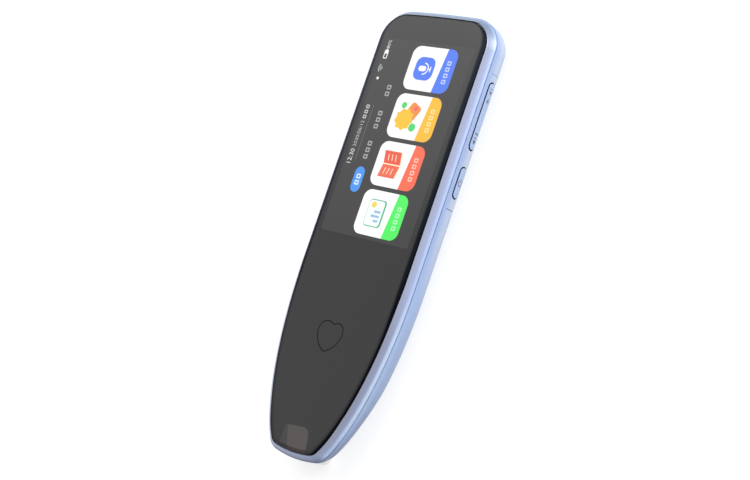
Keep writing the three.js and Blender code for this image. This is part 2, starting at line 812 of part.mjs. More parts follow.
function finish(color, roughness, metalness, opacity = 1) {
  return new THREE.MeshStandardMaterial({
    color, roughness, metalness, opacity, transparent: opacity < 1,
  });
}

const looks = {
  shell: () => finish('#b4c6f4', 0.32, 0.1),
  back: () => finish('#c4d8fb', 0.3, 0.1),
  key: () => finish('#aebfec', 0.35, 0.1),
  glass: () => finish('#26272b', 0.08, 0, 0.85),
  display: () => finish('#55565a', 0.3, 0),
  white: () => finish('#eceae6', 0.4, 0),
  smoked: () => finish('#3a2c2b', 0.1, 0),
  black: () => finish('#15161a', 0.35, 0),
  board: () => finish('#1f5a3c', 0.5, 0.1),
  steel: () => finish('#b9bcc2', 0.3, 0.9),
  cell: () => finish('#9fa3aa', 0.45, 0.3),
};

const pieces = [
  ['cover_glass', makeCoverGlass(), looks.glass],
  ['display_panel', makePanel(), looks.display],
  ['display_backlight', makeBacklight(), looks.white],
  ['home_touch_pad', makeTouchPad(), looks.board],
  ['front_frame', makeFrontFrame(), looks.shell],
  ['mid_frame', makeMidFrame(), looks.shell],
  ['rear_cover', makeRearCover(), looks.back],
  ['volume_rocker', makeKey(rockerY, rockerLength, [rockerY - rockerReach, rockerY + rockerReach]), looks.key],
  ['power_button', makeKey(powerY, powerLength, [powerY]), looks.key],
  ['volume_up_switch', makeSwitch(rockerY + rockerReach), looks.steel],
  ['volume_down_switch', makeSwitch(rockerY - rockerReach), looks.steel],
  ['power_switch', makeSwitch(powerY), looks.steel],
  ['side_key_board', makeKeyBoard(), looks.board],
  ['main_board', makeMainBoard(), looks.board],
  ['battery', makeBattery(), looks.cell],
  ['speaker', makeSpeaker(), looks.black],
  ['speaker_mesh', makeSpeakerMesh(), looks.black],
  ['camera_ring', makeCameraRing(), looks.black],
  ['camera_window', makeCameraWindow(), looks.smoked],
  ['camera_module', makeCameraModule(), looks.black],
  ['charging_socket', makePortShell(), looks.steel],
  ['socket_tongue', makePortTongue(), looks.black],
  ['microphone', makeMicrophone(), looks.steel],
  ['scan_nose', makeNoseRing(), looks.white],
  ['scan_window', makeScanWindow(), looks.smoked],
  ['scan_light_board', makeLightBoard(), looks.board],
  ['scan_camera', makeScanCamera(), looks.black],
  ['nose_switch', makeNoseSwitch(), looks.steel],
];
screwPlaces.forEach(([x, y], i) => pieces.push([`board_screw_${i + 1}`, makeScrew(x, y), looks.steel]));

const pen = new THREE.Group();
for (const [name, solid, look] of pieces) {
  const mesh = new THREE.Mesh(geometryOf(solid), look());
  mesh.name = name;
  pen.add(mesh);
}

export default pen;
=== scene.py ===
"""Looks of a scanning dictionary pen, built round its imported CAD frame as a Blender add-on.

Lengths in this file are millimetres unless a name or comment says metres. The pen lies on its back:
+Z points out of the screen, +Y away from the scanning tip and +X to the side with the keys.
"""

import json
import math

import bmesh
import bpy
import numpy as np
from bpy.props import FloatProperty, FloatVectorProperty, IntProperty, PointerProperty
from bpy.types import Operator, Panel, PropertyGroup
from mathutils import Matrix, Vector
from mathutils.geometry import delaunay_2d_cdt

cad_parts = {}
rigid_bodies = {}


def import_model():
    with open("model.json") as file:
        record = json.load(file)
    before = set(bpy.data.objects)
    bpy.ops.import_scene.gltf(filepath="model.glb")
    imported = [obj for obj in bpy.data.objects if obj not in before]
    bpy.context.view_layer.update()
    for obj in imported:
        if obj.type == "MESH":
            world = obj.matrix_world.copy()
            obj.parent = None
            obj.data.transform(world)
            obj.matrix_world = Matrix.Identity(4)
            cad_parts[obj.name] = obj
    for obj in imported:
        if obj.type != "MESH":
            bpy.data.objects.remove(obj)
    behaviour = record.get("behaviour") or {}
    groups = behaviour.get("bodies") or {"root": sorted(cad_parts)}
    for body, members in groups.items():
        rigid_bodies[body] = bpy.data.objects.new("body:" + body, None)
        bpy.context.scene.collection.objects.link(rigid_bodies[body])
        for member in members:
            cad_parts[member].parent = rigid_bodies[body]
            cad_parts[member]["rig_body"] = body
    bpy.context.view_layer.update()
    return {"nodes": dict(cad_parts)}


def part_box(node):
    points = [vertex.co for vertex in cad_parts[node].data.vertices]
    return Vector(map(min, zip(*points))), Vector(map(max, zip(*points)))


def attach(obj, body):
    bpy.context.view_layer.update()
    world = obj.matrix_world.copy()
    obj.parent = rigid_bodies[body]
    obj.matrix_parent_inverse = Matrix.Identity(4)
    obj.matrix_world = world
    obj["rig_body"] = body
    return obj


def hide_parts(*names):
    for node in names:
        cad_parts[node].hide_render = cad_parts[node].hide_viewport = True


bl_info = {
    "name": "Scanning dictionary pen",
    "version": (1, 0, 0),
    "blender": (4, 5, 0),
    "location": "3D View > Sidebar > Pen",
    "description": "Lacquered shells, printed glass, keys, camera and scanning nose round the CAD frame",
    "category": "Add Mesh",
}

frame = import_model()
METRE = 1000.0


def corners(node):
    """Lowest and highest corner of a CAD node in millimetres."""
    low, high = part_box(node)
    return low * METRE, high * METRE


GLASS_LOW, GLASS_HIGH = corners("cover_glass")
BAND_LOW, BAND_HIGH = corners("mid_frame")
ROCKER_LOW, ROCKER_HIGH = corners("volume_rocker")
POWER_LOW, POWER_HIGH = corners("power_button")
RING_LOW, RING_HIGH = corners("camera_ring")
LENS_LOW, LENS_HIGH = corners("camera_window")
SOCKET_LOW, SOCKET_HIGH = corners("charging_socket")
TONGUE_LOW, TONGUE_HIGH = corners("socket_tongue")
FRAME_FOOT = corners("front_frame")[0].z
COVER_TOP = corners("rear_cover")[1].z
NOSE_TIP = corners("scan_nose")[0].y
WINDOW_TOP = corners("scan_window")[1].y

# Outline of the face: the CAD's, with a flatter top end, squarer corners and a shorter tip, as in the photo
STRAIGHT = 80.7  # length of the straight sides
TAPER_REACH_SHARE = 1.072  # the taper's ellipse would end this far past the glass
TOP_CORNER, TOP_BOW = 7.8, 420.0  # radii at the top end
TIP_CORNER, TIP_BOW = 3.6, 36.0  # radii at the tip
TIP_CUT = 0.72  # how far the tip stands back from the CAD's
# The rim round the glass: its share at the tip, what the tip's sides gain and its share at the top end
TIP_RIM_SHARE, TIP_SIDE_SHARE, TOP_RIM_SHARE = 0.75, 0.15, 0.86

# Gaps and walls
PARTING_GAP, SEAT_GAP, STRIP_GAP, KEY_GAP = 0.2, 0.1, 0.18, 0.25
GLASS_GAP, TAPER_GAP, TAPER_GAP_FADE = 0.35, 0.12, 6.0  # between glass and bezel, less along the taper
WALL, FLOOR_WALL = 1.5, 1.2
OVERRUN = 2.0  # how far a cutting tool runs on past what it cuts

# The rounded back
FILLET_WIDTH, FILLET_HEIGHT = 6.9, 6.2
STEP_FOOT = 5.2  # height where the rear cover starts to step in
BACK_TIP_REACH = 16.5  # the flat of the back ends this far from the tip
TURN_IN_START, TURN_IN_REACH = -42.0, 21.0  # where the walls turn in from higher up, and over what length
LEAST_WALL = 0.02  # height of the upright wall that is left there
FLAT_TAPER_SHARE = 0.963
FLAT_CORNER, FLAT_TIP_CORNER = 3.2, 9.0

# Under the bezel: its foot, the skirt that enters the band and the ledge that the glass lies on
BEZEL_FOOT = 0.04
SKIRT_GAP, SKIRT_LIFT, SKIRT_WALL = 0.3, 1.5, 1.2
LEDGE_Z, LEDGE_REACH = 9.5, 1.6

# The photo's keys sit a little nearer to the top end than the CAD's: how far each key's two ends move
POWER_MOVES, ROCKER_MOVES = (0.6, 0.3), (0.7, 0.2)
KEYS = ((ROCKER_LOW, ROCKER_HIGH), (POWER_LOW, POWER_HIGH))

GLASS_LOW.y += TIP_CUT
BAND_LOW.y += TIP_CUT
for ends, moves in zip(KEYS, (ROCKER_MOVES, POWER_MOVES)):
    for end, move in zip(ends, moves):
        end.y += move

SIDE_X = -BAND_LOW.x
TOP_Y, TIP_Y = BAND_HIGH.y, BAND_LOW.y
GLASS_HALF = GLASS_HIGH.x
RIM = SIDE_X - GLASS_HALF
TAPER_Y = GLASS_HIGH.y - STRAIGHT
FRONT_PARTING = BAND_HIGH.z + PARTING_GAP / 2
REAR_PARTING = COVER_TOP + PARTING_GAP / 2

# Key strip, socket strip and camera
STRIP_Y, STRIP_LENGTH, STRIP_DEPTH, STRIP_CORNER = 33.4, 41.6, 6.5, 2.0
KEY_Z, KEY_WIDTH, KEY_PROUD, KEY_BACK, FLANGE_RIM = 5.57, 2.6, 0.25, 0.9, 0.4
SOCKET_STRIP_HALF, SOCKET_WALL = 8.6, 0.3
PINHOLE_X, PINHOLE_RADIUS = 6.37, 0.5
CONTACTS, CONTACT_PITCH, CONTACT_WIDTH, CONTACT_LENGTH = 12, 0.5, 0.28, 2.4
CONTACT_INSET, CONTACT_PROUD = 1.7, 0.02
CAMERA_Y = (RING_LOW.y + RING_HIGH.y) / 2

# Scanning nose and its window
NOSE_HALF, NOSE_CORNER, NOSE_RIM = 6.2, 2.0, 0.85
NOSE_WALL, NOSE_SIDE_WALL, NOSE_FILLET = 1.6, 0.8, 2.4
NOSE_TRAVEL, NOSE_SET_BACK = 0.4, 0.45
NOSE_TOP = NOSE_TIP + 14.7
SCAN_HALF, SCAN_CORNER, SCAN_WALL, SCAN_RISE, SCAN_GAP = 4.9, 0.9, 0.9, 5.6, 0.05

# Steps of the curved outlines
TOP_STEPS, CORNER_STEPS, TAPER_STEPS, TIP_CORNER_STEPS, TIP_STEPS = 14, 22, 56, 18, 14
FILLET_STEPS, EDGE_STEPS, PLUG_STEPS = 30, 8, 12


def srgb(code):
    """Linear colour of an sRGB hex code such as #a0b1c2."""
    channels = [int(code[i : i + 2], 16) / 255 for i in (1, 3, 5)]
    return tuple(c / 12.92 if c <= 0.04045 else ((c + 0.055) / 1.055) ** 2.4 for c in channels)


def clamp(value):
    """A number kept within 0 and 1."""
    return min(max(value, 0), 1)


def colour(name, code):
    """A colour of the sidebar, from an sRGB hex code."""
    return FloatVectorProperty(name=name, description=name, subtype="COLOR", size=3, min=0, max=1, default=srgb(code))


def length(name, default):
    """A length of the sidebar."""
    return FloatProperty(name=name, description=f"{name}, in millimetres", default=default, min=0)


class PenSizes(PropertyGroup):
    """Small sizes that only the looks have, in millimetres."""

    glass_inset: length("Width of the glass's rounded edge", 1.5)
    glass_drop: length("Drop of the glass's rounded edge", 0.45)
    bezel_bulge: FloatProperty(
        name="Bezel bulge", description="How far the bezel bows outwards, as a share of its width", default=0.04
    )
    edge_break: length("Radius on the shells' edges", 0.08)
    key_round: length("Radius on the keys' edges", 0.12)
    hole_pitch: length("Pitch of the speaker holes", 2.8)
    hole_radius: length("Radius of the speaker holes", 0.72)
    hole_sides: IntProperty(name="Hole sides", description="Sides of each speaker hole", default=24, min=6)
    dimple_depth: length("Depth of the dimples round the camera", 0.4)
    heart_line: length("Width of the heart's line", 0.34)
    lip_drop: length("Drop of the bezel's lip below the glass", 0.6)
    key_gap: length("Gap round the keys", 0.4)
    cover_step: length("Step from the band in to the rear cover", 0.2)


class PenColours(PropertyGroup):
    """Colours of the finishes."""

    lacquer: colour("Lacquer of the walls", "#b6cdfb")
    # The bezel's painted highlight and shade: light at the parting line, greyer towards the glass
    bezel_painted_highlight: colour("Lacquer of the bezel at the parting line", "#c2d4fa")
    bezel_painted_midtone: colour("Lacquer of the middle of the bezel", "#aabae5")
    bezel_painted_shade: colour("Lacquer of the bezel at the glass", "#aab2cd")
    # Painted light: the back's flat is paler than the walls
    back_painted_light: colour("Lacquer of the back", "#c8dcfc")
    key: colour("Lacquer of the keys", "#bcd4fb")
    # Painted shadow in the slots round the keys
    shadow_gap: colour("Bare plastic in the gaps round the keys", "#10224a")
    glass_print: colour("Print under the glass", "#242425")
    # Painted shadow in the gap between glass and bezel
    glass_gap_painted_shadow: colour("Gasket between glass and bezel", "#141b26")
    # Painted shade and reflection on the glass's rounded edge: darker on the taper, lighter on the straight sides
    glass_edge: colour("Rounded edge of the glass on the taper", "#070a12")
    glass_edge_lit: colour("Rounded edge of the glass on the straight sides", "#2a2f38")
    display: colour("Unlit pixels of the display", "#353536")
    nose: colour("Ring of the scanning nose", "#f8f6f3")
    smoke: colour("Smoked scanning window", "#2b2427")


# Meshes


def new_piece(name, mesh):
    """An object in the scene."""
    piece = bpy.data.objects.new(name, mesh)
    bpy.context.scene.collection.objects.link(piece)
    return piece


def new_mesh(name, points, faces):
    """A mesh in metres from points in millimetres."""
    mesh = bpy.data.meshes.new(name)
    mesh.from_pydata([tuple(c / METRE for c in p) for p in points], [], faces)
    return mesh


def face_outwards(mesh):
    """Welds the points of a closed mesh and turns its faces outwards."""
    work = bmesh.new()
    work.from_mesh(mesh)
    bmesh.ops.remove_doubles(work, verts=work.verts, dist=1e-7)
    bmesh.ops.recalc_face_normals(work, faces=work.faces)
    work.to_mesh(mesh)
    work.free()
    return mesh


def loop_faces(count, rows, ring):
    """Quads between rows of count points each. A ring joins its last row to its first; else both are capped."""
    faces = []
    for low in range(rows if ring else rows - 1):
        high = (low + 1) % rows
        for i in range(count):
            j = (i + 1) % count
            faces.append((low * count + i, low * count + j, high * count + j, high * count + i))
    if not ring:
        faces.append(tuple(reversed(range(count))))
        faces.append(tuple(range((rows - 1) * count, rows * count)))
    return faces


def loft(name, loops, ring=False):
    """A closed solid through loops of equal length."""
    points = [p for loop in loops for p in loop]
    return new_piece(name, face_outwards(new_mesh(name, points, loop_faces(len(loops[0]), len(loops), ring))))


def skinned(name, skin, triangles, walls):
    """A closed mesh: a triangulated skin, walls that go down from the skin's own edge, and a cap, in that order."""
    count, start = len(walls[0]), len(skin)
    points = [*skin, *(tuple(p) for loop in walls for p in loop)]
    rows = loop_faces(count, len(walls), False)[: count * (len(walls) - 1)]
    cap = range(count * (len(walls) - 1), count * len(walls))
    below = [tuple(start + i for i in face) for face in (*rows, cap)]
    return new_mesh(name, points, [*map(tuple, triangles), *below])


def settle(piece):
    """Makes the piece's modifiers real."""
    graph = bpy.context.evaluated_depsgraph_get()
    mesh = bpy.data.meshes.new_from_object(piece.evaluated_get(graph))
    old = piece.data
    piece.modifiers.clear()
    piece.data = mesh
    mesh.name = piece.name
    bpy.data.meshes.remove(old)
    return piece


def carve(piece, tool, operation="DIFFERENCE"):
    """Cuts a tool out of a piece, or joins or intersects the two, and removes the tool."""
    modifier = piece.modifiers.new("carve", "BOOLEAN")
    modifier.object = tool
    modifier.operation = operation
    modifier.solver = "MANIFOLD"
    settle(piece)
    bpy.data.meshes.remove(tool.data)
    return piece


def crease_between(piece, slot):
    """Keeps the shade from running over the border of the faces of one finish."""
    work = bmesh.new()
    work.from_mesh(piece.data)
    for edge in work.edges:
        if sum(face.material_index == slot for face in edge.link_faces) == 1:
            edge.smooth = False
    work.to_mesh(piece.data)
    work.free()
    return piece


def smooth(piece, degrees=32.0, border_slot=None):
    """Smooth shade that breaks at sharp edges and stays level on large flats.

    It breaks round the faces of one finish too, if that finish's slot is given.
    """
    piece.data.shade_smooth()
    piece.data.set_sharp_from_angle(angle=math.radians(degrees))
    if border_slot is not None:
        crease_between(piece, border_slot)
    modifier = piece.modifiers.new("level", "WEIGHTED_NORMAL")
    modifier.keep_sharp = True
    modifier.weight = 80
    return settle(piece)


def break_edges(piece, radius, degrees=40.0):
    """A small radius on every sharp edge."""
    modifier = piece.modifiers.new("edge", "BEVEL")
    modifier.width = radius / METRE
    modifier.segments = 2
    modifier.limit_method = "ANGLE"
    modifier.angle_limit = math.radians(degrees)
    return settle(piece)


def dress(piece, finishes):
    """Gives a piece its finishes; each face keeps its place in the list."""
    polygons = piece.data.polygons
    places = np.zeros(len(polygons), np.int32)
    polygons.foreach_get("material_index", places)
    piece.data.materials.clear()
    for finish in finishes:
        piece.data.materials.append(finish)
    polygons.foreach_set("material_index", np.minimum(places, len(finishes) - 1))


def finish_piece(piece, node, finishes):
    """Gives a piece its finishes and its body, and lets it stand for its CAD node."""
    dress(piece, finishes)
    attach(piece, frame["nodes"][node]["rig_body"])
    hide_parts(node)
    return piece


# Flat outlines


def arc(cx, cy, radius, start, end, steps, first=0):
    """Points of an arc with their normals."""
    turns = [start + (end - start) * i / steps for i in range(first, steps + 1)]
    return [(cx + radius * math.cos(t), cy + radius * math.sin(t), math.cos(t), math.sin(t)) for t in turns]


def taper_point(width, reach, turn):
    """A point on the quarter ellipse from the straight side down to the tip, with its normal."""
    slope = math.hypot(math.cos(turn) / width, math.sin(turn) / reach)
    return (
        width * math.cos(turn),
        TAPER_Y - reach * math.sin(turn),
        math.cos(turn) / width / slope,
        -math.sin(turn) / reach / slope,
    )


def outline(half, top_y, corner, tip_y, tip_corner, reach):
    """Points and normals, anticlockwise: bowed top, round corners, straight sides and a long taper to the tip."""
    centre_y = top_y - TOP_BOW
    corner_x = half - corner
    corner_y = centre_y + math.sqrt((TOP_BOW - corner) ** 2 - corner_x**2)
    lean = math.atan2(corner_y - centre_y, corner_x)
    points = arc(0, centre_y, TOP_BOW, math.pi / 2, lean, TOP_STEPS)
    points += arc(corner_x, corner_y, corner, lean, 0, CORNER_STEPS, 1)
    tip_centre = tip_y + TIP_BOW

    def corner_at(turn):
        x, y, nx, ny = taper_point(half, reach, turn)
        return x - tip_corner * nx, y - tip_corner * ny, nx, ny

    # Halves the range of turns until the tip's corner touches its bow
    low, high = 0.0, math.pi / 2
    for _ in range(60):
        middle = (low + high) / 2
        x, y, _, _ = corner_at(middle)
        if math.hypot(x, y - tip_centre) < TIP_BOW - tip_corner:
            low = middle
        else:
            high = middle
    points += [taper_point(half, reach, low * i / TAPER_STEPS) for i in range(TAPER_STEPS + 1)]
    x, y, nx, ny = corner_at(low)
    start, end = math.atan2(ny, nx), math.atan2(y - tip_centre, x)
    points += arc(x, y, tip_corner, start, end, TIP_CORNER_STEPS, 1)
    points += arc(0, tip_centre, TIP_BOW, end, -math.pi / 2, TIP_STEPS, 1)
    left = [(-x, y, -nx, ny) for x, y, nx, ny in points[1:-1]]
    return np.array(points + left[::-1])[::-1]


TAPER_REACH = (TAPER_Y - GLASS_LOW.y) * TAPER_REACH_SHARE
FACE = outline(GLASS_HALF, GLASS_HIGH.y, TOP_CORNER, GLASS_LOW.y, TIP_CORNER, TAPER_REACH)


def flat_outline(tip_reach, tip_corner):
    """Outline of the back's flat, which ends that far from the tip."""
    reach = TAPER_REACH * FLAT_TAPER_SHARE
    half, top_y = SIDE_X - FILLET_WIDTH, TOP_Y - FILLET_WIDTH
    return outline(half, top_y, FLAT_CORNER + SEAT_GAP, TIP_Y + tip_reach, tip_corner, reach)


BACK = flat_outline(BACK_TIP_REACH, FLAT_TIP_CORNER)
NOSE_BACK = flat_outline(NOSE_FILLET, FLAT_CORNER)
NEAR_TIP = np.clip((TURN_IN_START - FACE[:, 1]) / TURN_IN_REACH, 0, 1)
START_Z = FILLET_HEIGHT + (FRONT_PARTING - FILLET_HEIGHT) * NEAR_TIP**2 * (3 - 2 * NEAR_TIP)
NOSE_START_Z = np.full(len(FACE), NOSE_FILLET)


def rim(out, z):
    """The face's outline moved outwards, by less towards the tip and the top end, at a height or at heights."""
    reach = np.clip((TAPER_Y - FACE[:, 1]) / (TAPER_Y - GLASS_LOW.y), 0, 1)
    ahead, behind = np.clip(FACE[:, 3], 0, 1), np.clip(-FACE[:, 3], 0, 1)
    change = TIP_SIDE_SHARE * reach**4 - (TIP_SIDE_SHARE + 1 - TIP_RIM_SHARE) * behind**2
    move = out * (1 + change - (1 - TOP_RIM_SHARE) * ahead**2)
    return np.column_stack([FACE[:, :2] + FACE[:, 2:] * move[:, None], np.broadcast_to(z, len(FACE))])


def case_body(name, out, floor_z, top_z, step=0.0, back=BACK, start_z=START_Z):
    """The rounded lower case as one solid, whose walls turn in from higher up near the tip.

    A step draws its upper edge in by that much.
    """

    def loop(z):
        turn = np.arcsin(np.clip(1 - (z - floor_z) / (start_z - floor_z), 0, 1))
        points = rim(out - step * np.clip((z - STEP_FOOT) / (top_z - STEP_FOOT), 0, 1), z)
        points[:, :2] += (back[:, :2] - points[:, :2]) * (1 - np.cos(turn))[:, None]
        return points

    last_z = np.minimum(start_z, top_z - LEAST_WALL)
    last_turn = np.arcsin(np.clip(1 - (last_z - floor_z) / (start_z - floor_z), 0, 1))
    loops = []
    for k in range(FILLET_STEPS + 1):
        turn = math.pi / 2 + (last_turn - math.pi / 2) * k / FILLET_STEPS
        loops.append(loop(floor_z + (start_z - floor_z) * (1 - np.sin(turn))))
    return loft(name, [*loops, loop(np.full(len(FACE), top_z))])


def rounded(width, height, radius, steps=PLUG_STEPS, u=0.0, v=0.0):
    """A rectangle with round corners, anticlockwise."""
    radius = min(radius, width / 2, height / 2)
    points = []
    for k, (su, sv) in enumerate(((1, 1), (-1, 1), (-1, -1), (1, -1))):
        cu, cv = u + su * (width / 2 - radius), v + sv * (height / 2 - radius)
        points += [p[:2] for p in arc(cu, cv, radius, k * math.pi / 2, (k + 1) * math.pi / 2, steps)]
    return [p for p, q in zip(points, points[1:] + points[:1]) if math.dist(p, q) > 1e-9]


PLACES = {
    "X": lambda u, v, w: (w, u, v),
    "Y": lambda u, v, w: (u, w, v),
    "Z": lambda u, v, w: (u, v, w),
}


def prism(name, points, axis, low, high):
    """A flat outline pushed along an axis. The outline's directions are the other two, in X, Y, Z order."""
    place = PLACES[axis]
    return loft(name, [[place(u, v, w) for u, v in points] for w in (low, high)])


def disc(radius, sides, u=0.0, v=0.0):
    """A round outline."""
    return [p[:2] for p in arc(u, v, radius, 0, 2 * math.pi, sides)][:-1]


def slab_below(z):
    """All that lies below a height."""
    size = 2 * SIDE_X + OVERRUN
    return prism("slab", rounded(size, 4 * TOP_Y, OVERRUN, 1), "Z", -OVERRUN, z)


def strip_plug(grow):
    """The key strip's place in the wall."""
    z = FRONT_PARTING - STRIP_DEPTH / 2
    points = rounded(STRIP_LENGTH + 2 * grow, STRIP_DEPTH + 2 * grow, STRIP_CORNER + grow, u=STRIP_Y, v=z)
    return prism("strip", points, "X", 0, SIDE_X + OVERRUN)


def socket_plug(grow):
    """The socket strip's place in the top end."""
    low = SOCKET_LOW.z - WALL / 2
    points = rounded(
        2 * (SOCKET_STRIP_HALF + grow), FRONT_PARTING - low + 2 * grow, STRIP_CORNER + grow, v=(FRONT_PARTING + low) / 2
    )
    return prism("socket_strip", points, "Y", 0, TOP_Y + OVERRUN)


def nose_plug(grow):
    """A U seen from above, round the nose and out past the tip."""
    top, bottom = NOSE_TOP + grow, NOSE_TIP - OVERRUN - NOSE_CORNER
    points = rounded(2 * (NOSE_HALF + grow), top - bottom, NOSE_CORNER + grow, v=(top + bottom) / 2)
    return prism("nose", points, "Z", -OVERRUN, FRONT_PARTING)


def lower_shell(name, top_z, step=0.0):
    """The hollow lower case up to a height."""
    shell = case_body(name, RIM, 0, top_z, step)
    return carve(shell, case_body("inside", RIM - WALL, FLOOR_WALL, top_z + OVERRUN))


# Materials


def node(tree, kind, inputs=None, **settings):
    """Adds a shader or geometry node with its settings, and links or sets its inputs."""
    made = tree.nodes.new(kind)
    for key, value in settings.items():
        setattr(made, key, value)
    for key, value in (inputs or {}).items():
        if isinstance(value, bpy.types.NodeSocket):
            tree.links.new(value, made.inputs[key])
        else:
            made.inputs[key].default_value = value
    return made


def new_material(name):
    """A material with an empty tree and its output, as tree and output."""
    material = bpy.data.materials.new(name)
    material.use_nodes = True
    tree = material.node_tree
    tree.nodes.clear()
    return material, tree, tree.nodes.new("ShaderNodeOutputMaterial")


def rgba(value):
    """A colour with full alpha."""
    return (*value, 1.0)


def grey(value):
    """A grey colour."""
    return (value,) * 3


def scaled(shade, share):
    """A colour times a share, or times one share for each channel."""
    return tuple(min(c * s, 1) for c, s in zip(shade, np.broadcast_to(share, 3)))


def maths(tree, operation, *values):
    """The result of one step of arithmetic on numbers or sockets."""
    return node(tree, "ShaderNodeMath", dict(enumerate(values)), operation=operation).outputs[0]


def vectors(tree, operation, inputs, output="Vector"):
    """The result of one step of vector arithmetic."""
    return node(tree, "ShaderNodeVectorMath", inputs, operation=operation).outputs[output]


def object_place(tree):
    """Object coordinates, which are the pen's own metres."""
    return node(tree, "ShaderNodeTexCoord").outputs["Object"]


def place_on(tree, axis):
    """The place along an axis of the pen."""
    return node(tree, "ShaderNodeSeparateXYZ", {"Vector": object_place(tree)}).outputs[axis]


def spread(tree, value, low, high):
    """From 0 to 1 while a length goes from one length in millimetres to another."""
    inputs = {"Value": value, "From Min": low / METRE, "From Max": high / METRE}
    return node(tree, "ShaderNodeMapRange", inputs).outputs["Result"]


def along(tree, axis, low, high):
    """From 0 to 1 between two places in millimetres along an axis of the pen."""
    return spread(tree, place_on(tree, axis), low, high)


def noise(tree, size_mm):
    """Noise of that size in millimetres."""
    inputs = {"Vector": object_place(tree), "Scale": METRE / size_mm, "Detail": 2.0}
    return node(tree, "ShaderNodeTexNoise", inputs).outputs["Fac"]


def grain(tree, size_mm, strength):
    """A bump from noise of that size in millimetres."""
    inputs = {"Height": noise(tree, size_mm), "Strength": strength, "Distance": GRAIN_DEPTH / METRE}
    return node(tree, "ShaderNodeBump", inputs).outputs["Normal"]


def mixed(tree, factor, first, second):
    """A colour part of the way from one to another."""
    return node(tree, "ShaderNodeMix", {0: factor, 6: first, 7: second}, data_type="RGBA").outputs[2]


def ramp(tree, value, stops):
    """A colour ramp through stops of position and linear colour."""
    made = node(tree, "ShaderNodeValToRGB", {"Fac": value})
    elements = made.color_ramp.elements
    while len(elements) < len(stops):
        elements.new(0.5)
    for element, (position, shade) in zip(elements, stops):
        element.position = position
        element.color = rgba(shade)
    return made.outputs["Color"]


def principled(name, base, roughness, metallic=0.0, bump=None, **sockets):
    """A Principled surface. A value may be a function that makes it in the tree."""
    material, tree, output = new_material(name)
    values = {"Base Color": base if callable(base) else rgba(base), "Roughness": roughness, "Metallic": metallic}
    values |= {key.replace("_", " "): value for key, value in sockets.items()}
    if bump:
        values["Normal"] = grain(tree, *bump)
    made = {key: value(tree) if callable(value) else value for key, value in values.items()}
    surface = node(tree, "ShaderNodeBsdfPrincipled", made)
    tree.links.new(surface.outputs["BSDF"], output.inputs["Surface"])
    return material


# The walls and the back mirror less of the studio than the bezel does
WALL_COAT = {"coat": 0.15, "level": 0.35}
GRAIN_DEPTH, FLAKE_SIZE = 0.05, 0.4

# Painted shade and light of the lacquer, matched to the photo's light: reaches in millimetres, and ramps of position
# and share
WALL_REACH, WALL_HEIGHTS, NOSE_RIM_REACH = (-66.0, 4.0), (4.6, 8.0), (7.2, 8.4)
UPPER_WALL = [(0.0, 0.72), (0.12, 1.0), (0.25, 1.12), (0.55, 1.1), (1.0, 1.0)]
LOWER_WALL = [(0.0, 0.42), (0.2, 0.55), (0.35, 0.77), (0.52, 0.81), (0.7, 0.95), (1.0, (1.6, 1.38, 1.03))]
BACK_TO_BAND = [(0.0, 0.0), (0.35, 0.0), (0.9, 1.0)]
BEZEL_PLACES, TAPER_BEZEL_PLACES = (0.0, 0.25, 0.45, 0.8, 1.0), (0.0, 0.3, 0.5, 0.8, 1.0)
TAPER_BEZEL_SHARE, TAPER_LIGHT_SHARE = 0.78, 1.18
TOP_BEZEL_SHARE, TOP_LIGHT_SHARE = (0.52, 0.62, 0.66), (0.62, 0.72, 0.74)
TIP_BEZEL = [(0.0, 0.3), (0.2, 0.42), (0.5, 0.74), (0.8, 1.0), (1.0, 1.15)]
TAPER_FADE = [(0.0, 0.1), (0.2, 0.9), (0.5, 1.0), (0.68, 0.9), (0.9, 0.0)]
TAPER_BEZEL_REACH, TOP_BEZEL_REACH, TIP_BEZEL_REACH = (-68.0, -8.0), (62.0, 67.5), (-65.5, -67.8)


def flaked(base_shade, low=0.91):
    """A base colour with the faint light and dark of mica flakes, drawn 0.4 mm wide so that they show."""

    def make(tree):
        shade = base_shade(tree) if callable(base_shade) else rgba(base_shade)
        full = shade if callable(base_shade) else shade[:3]
        return mixed(tree, noise(tree, FLAKE_SIZE), vectors(tree, "SCALE", {0: full, "Scale": low}), shade)

    return make


def pearl_lacquer(name, base_shade, coat=0.35, level=0.5):
    """Pearl lacquer sprayed on moulded ABS.

    Mica flakes give it a soft, milky glow, and the satin clear coat wide, blurred lights along the edges.
    """
    finish = {"Coat_Weight": coat, "Coat_Roughness": 0.18, "Coat_IOR": 1.5, "Specular_IOR_Level": level}
    return principled(name, flaked(base_shade), 0.42, 0.12, (0.5, 0.03), **finish)


def painted_bezel_shading(colours):
    """Painted shade and highlight on the bezel's lacquer: greyer towards the glass, where its slope flattens, and more
    so along the taper.

    At the top end the painted shade is deeper, and at the tip it runs from painted shade below to a painted highlight
    at the glass.
    """

    def make(tree):
        height = along(tree, "Z", FRONT_PARTING, GLASS_HIGH.z - bpy.context.scene.pen_sizes.lip_drop)
        light, middle, dark = colours.bezel_painted_highlight, colours.bezel_painted_midtone, colours.bezel_painted_shade

        def slope(places, light_share, share):
            shades = [scaled(light, light_share)] * 2 + [scaled(middle, share)] + [scaled(dark, share)] * 2
            return ramp(tree, height, list(zip(places, shades)))

        straight = slope(BEZEL_PLACES, 1.0, 1.0)
        taper = slope(TAPER_BEZEL_PLACES, TAPER_LIGHT_SHARE, TAPER_BEZEL_SHARE)
        top = slope(BEZEL_PLACES, TOP_LIGHT_SHARE, TOP_BEZEL_SHARE)
        tip = ramp(tree, height, [(at, scaled(middle, share)) for at, share in TIP_BEZEL])
        fade = ramp(tree, along(tree, "Y", *TAPER_BEZEL_REACH), [(at, grey(share)) for at, share in TAPER_FADE])
        sides = mixed(tree, fade, straight, taper)
        with_top = mixed(tree, along(tree, "Y", *TOP_BEZEL_REACH), sides, top)
        return mixed(tree, along(tree, "Y", *TIP_BEZEL_REACH), with_top, tip)

    return make


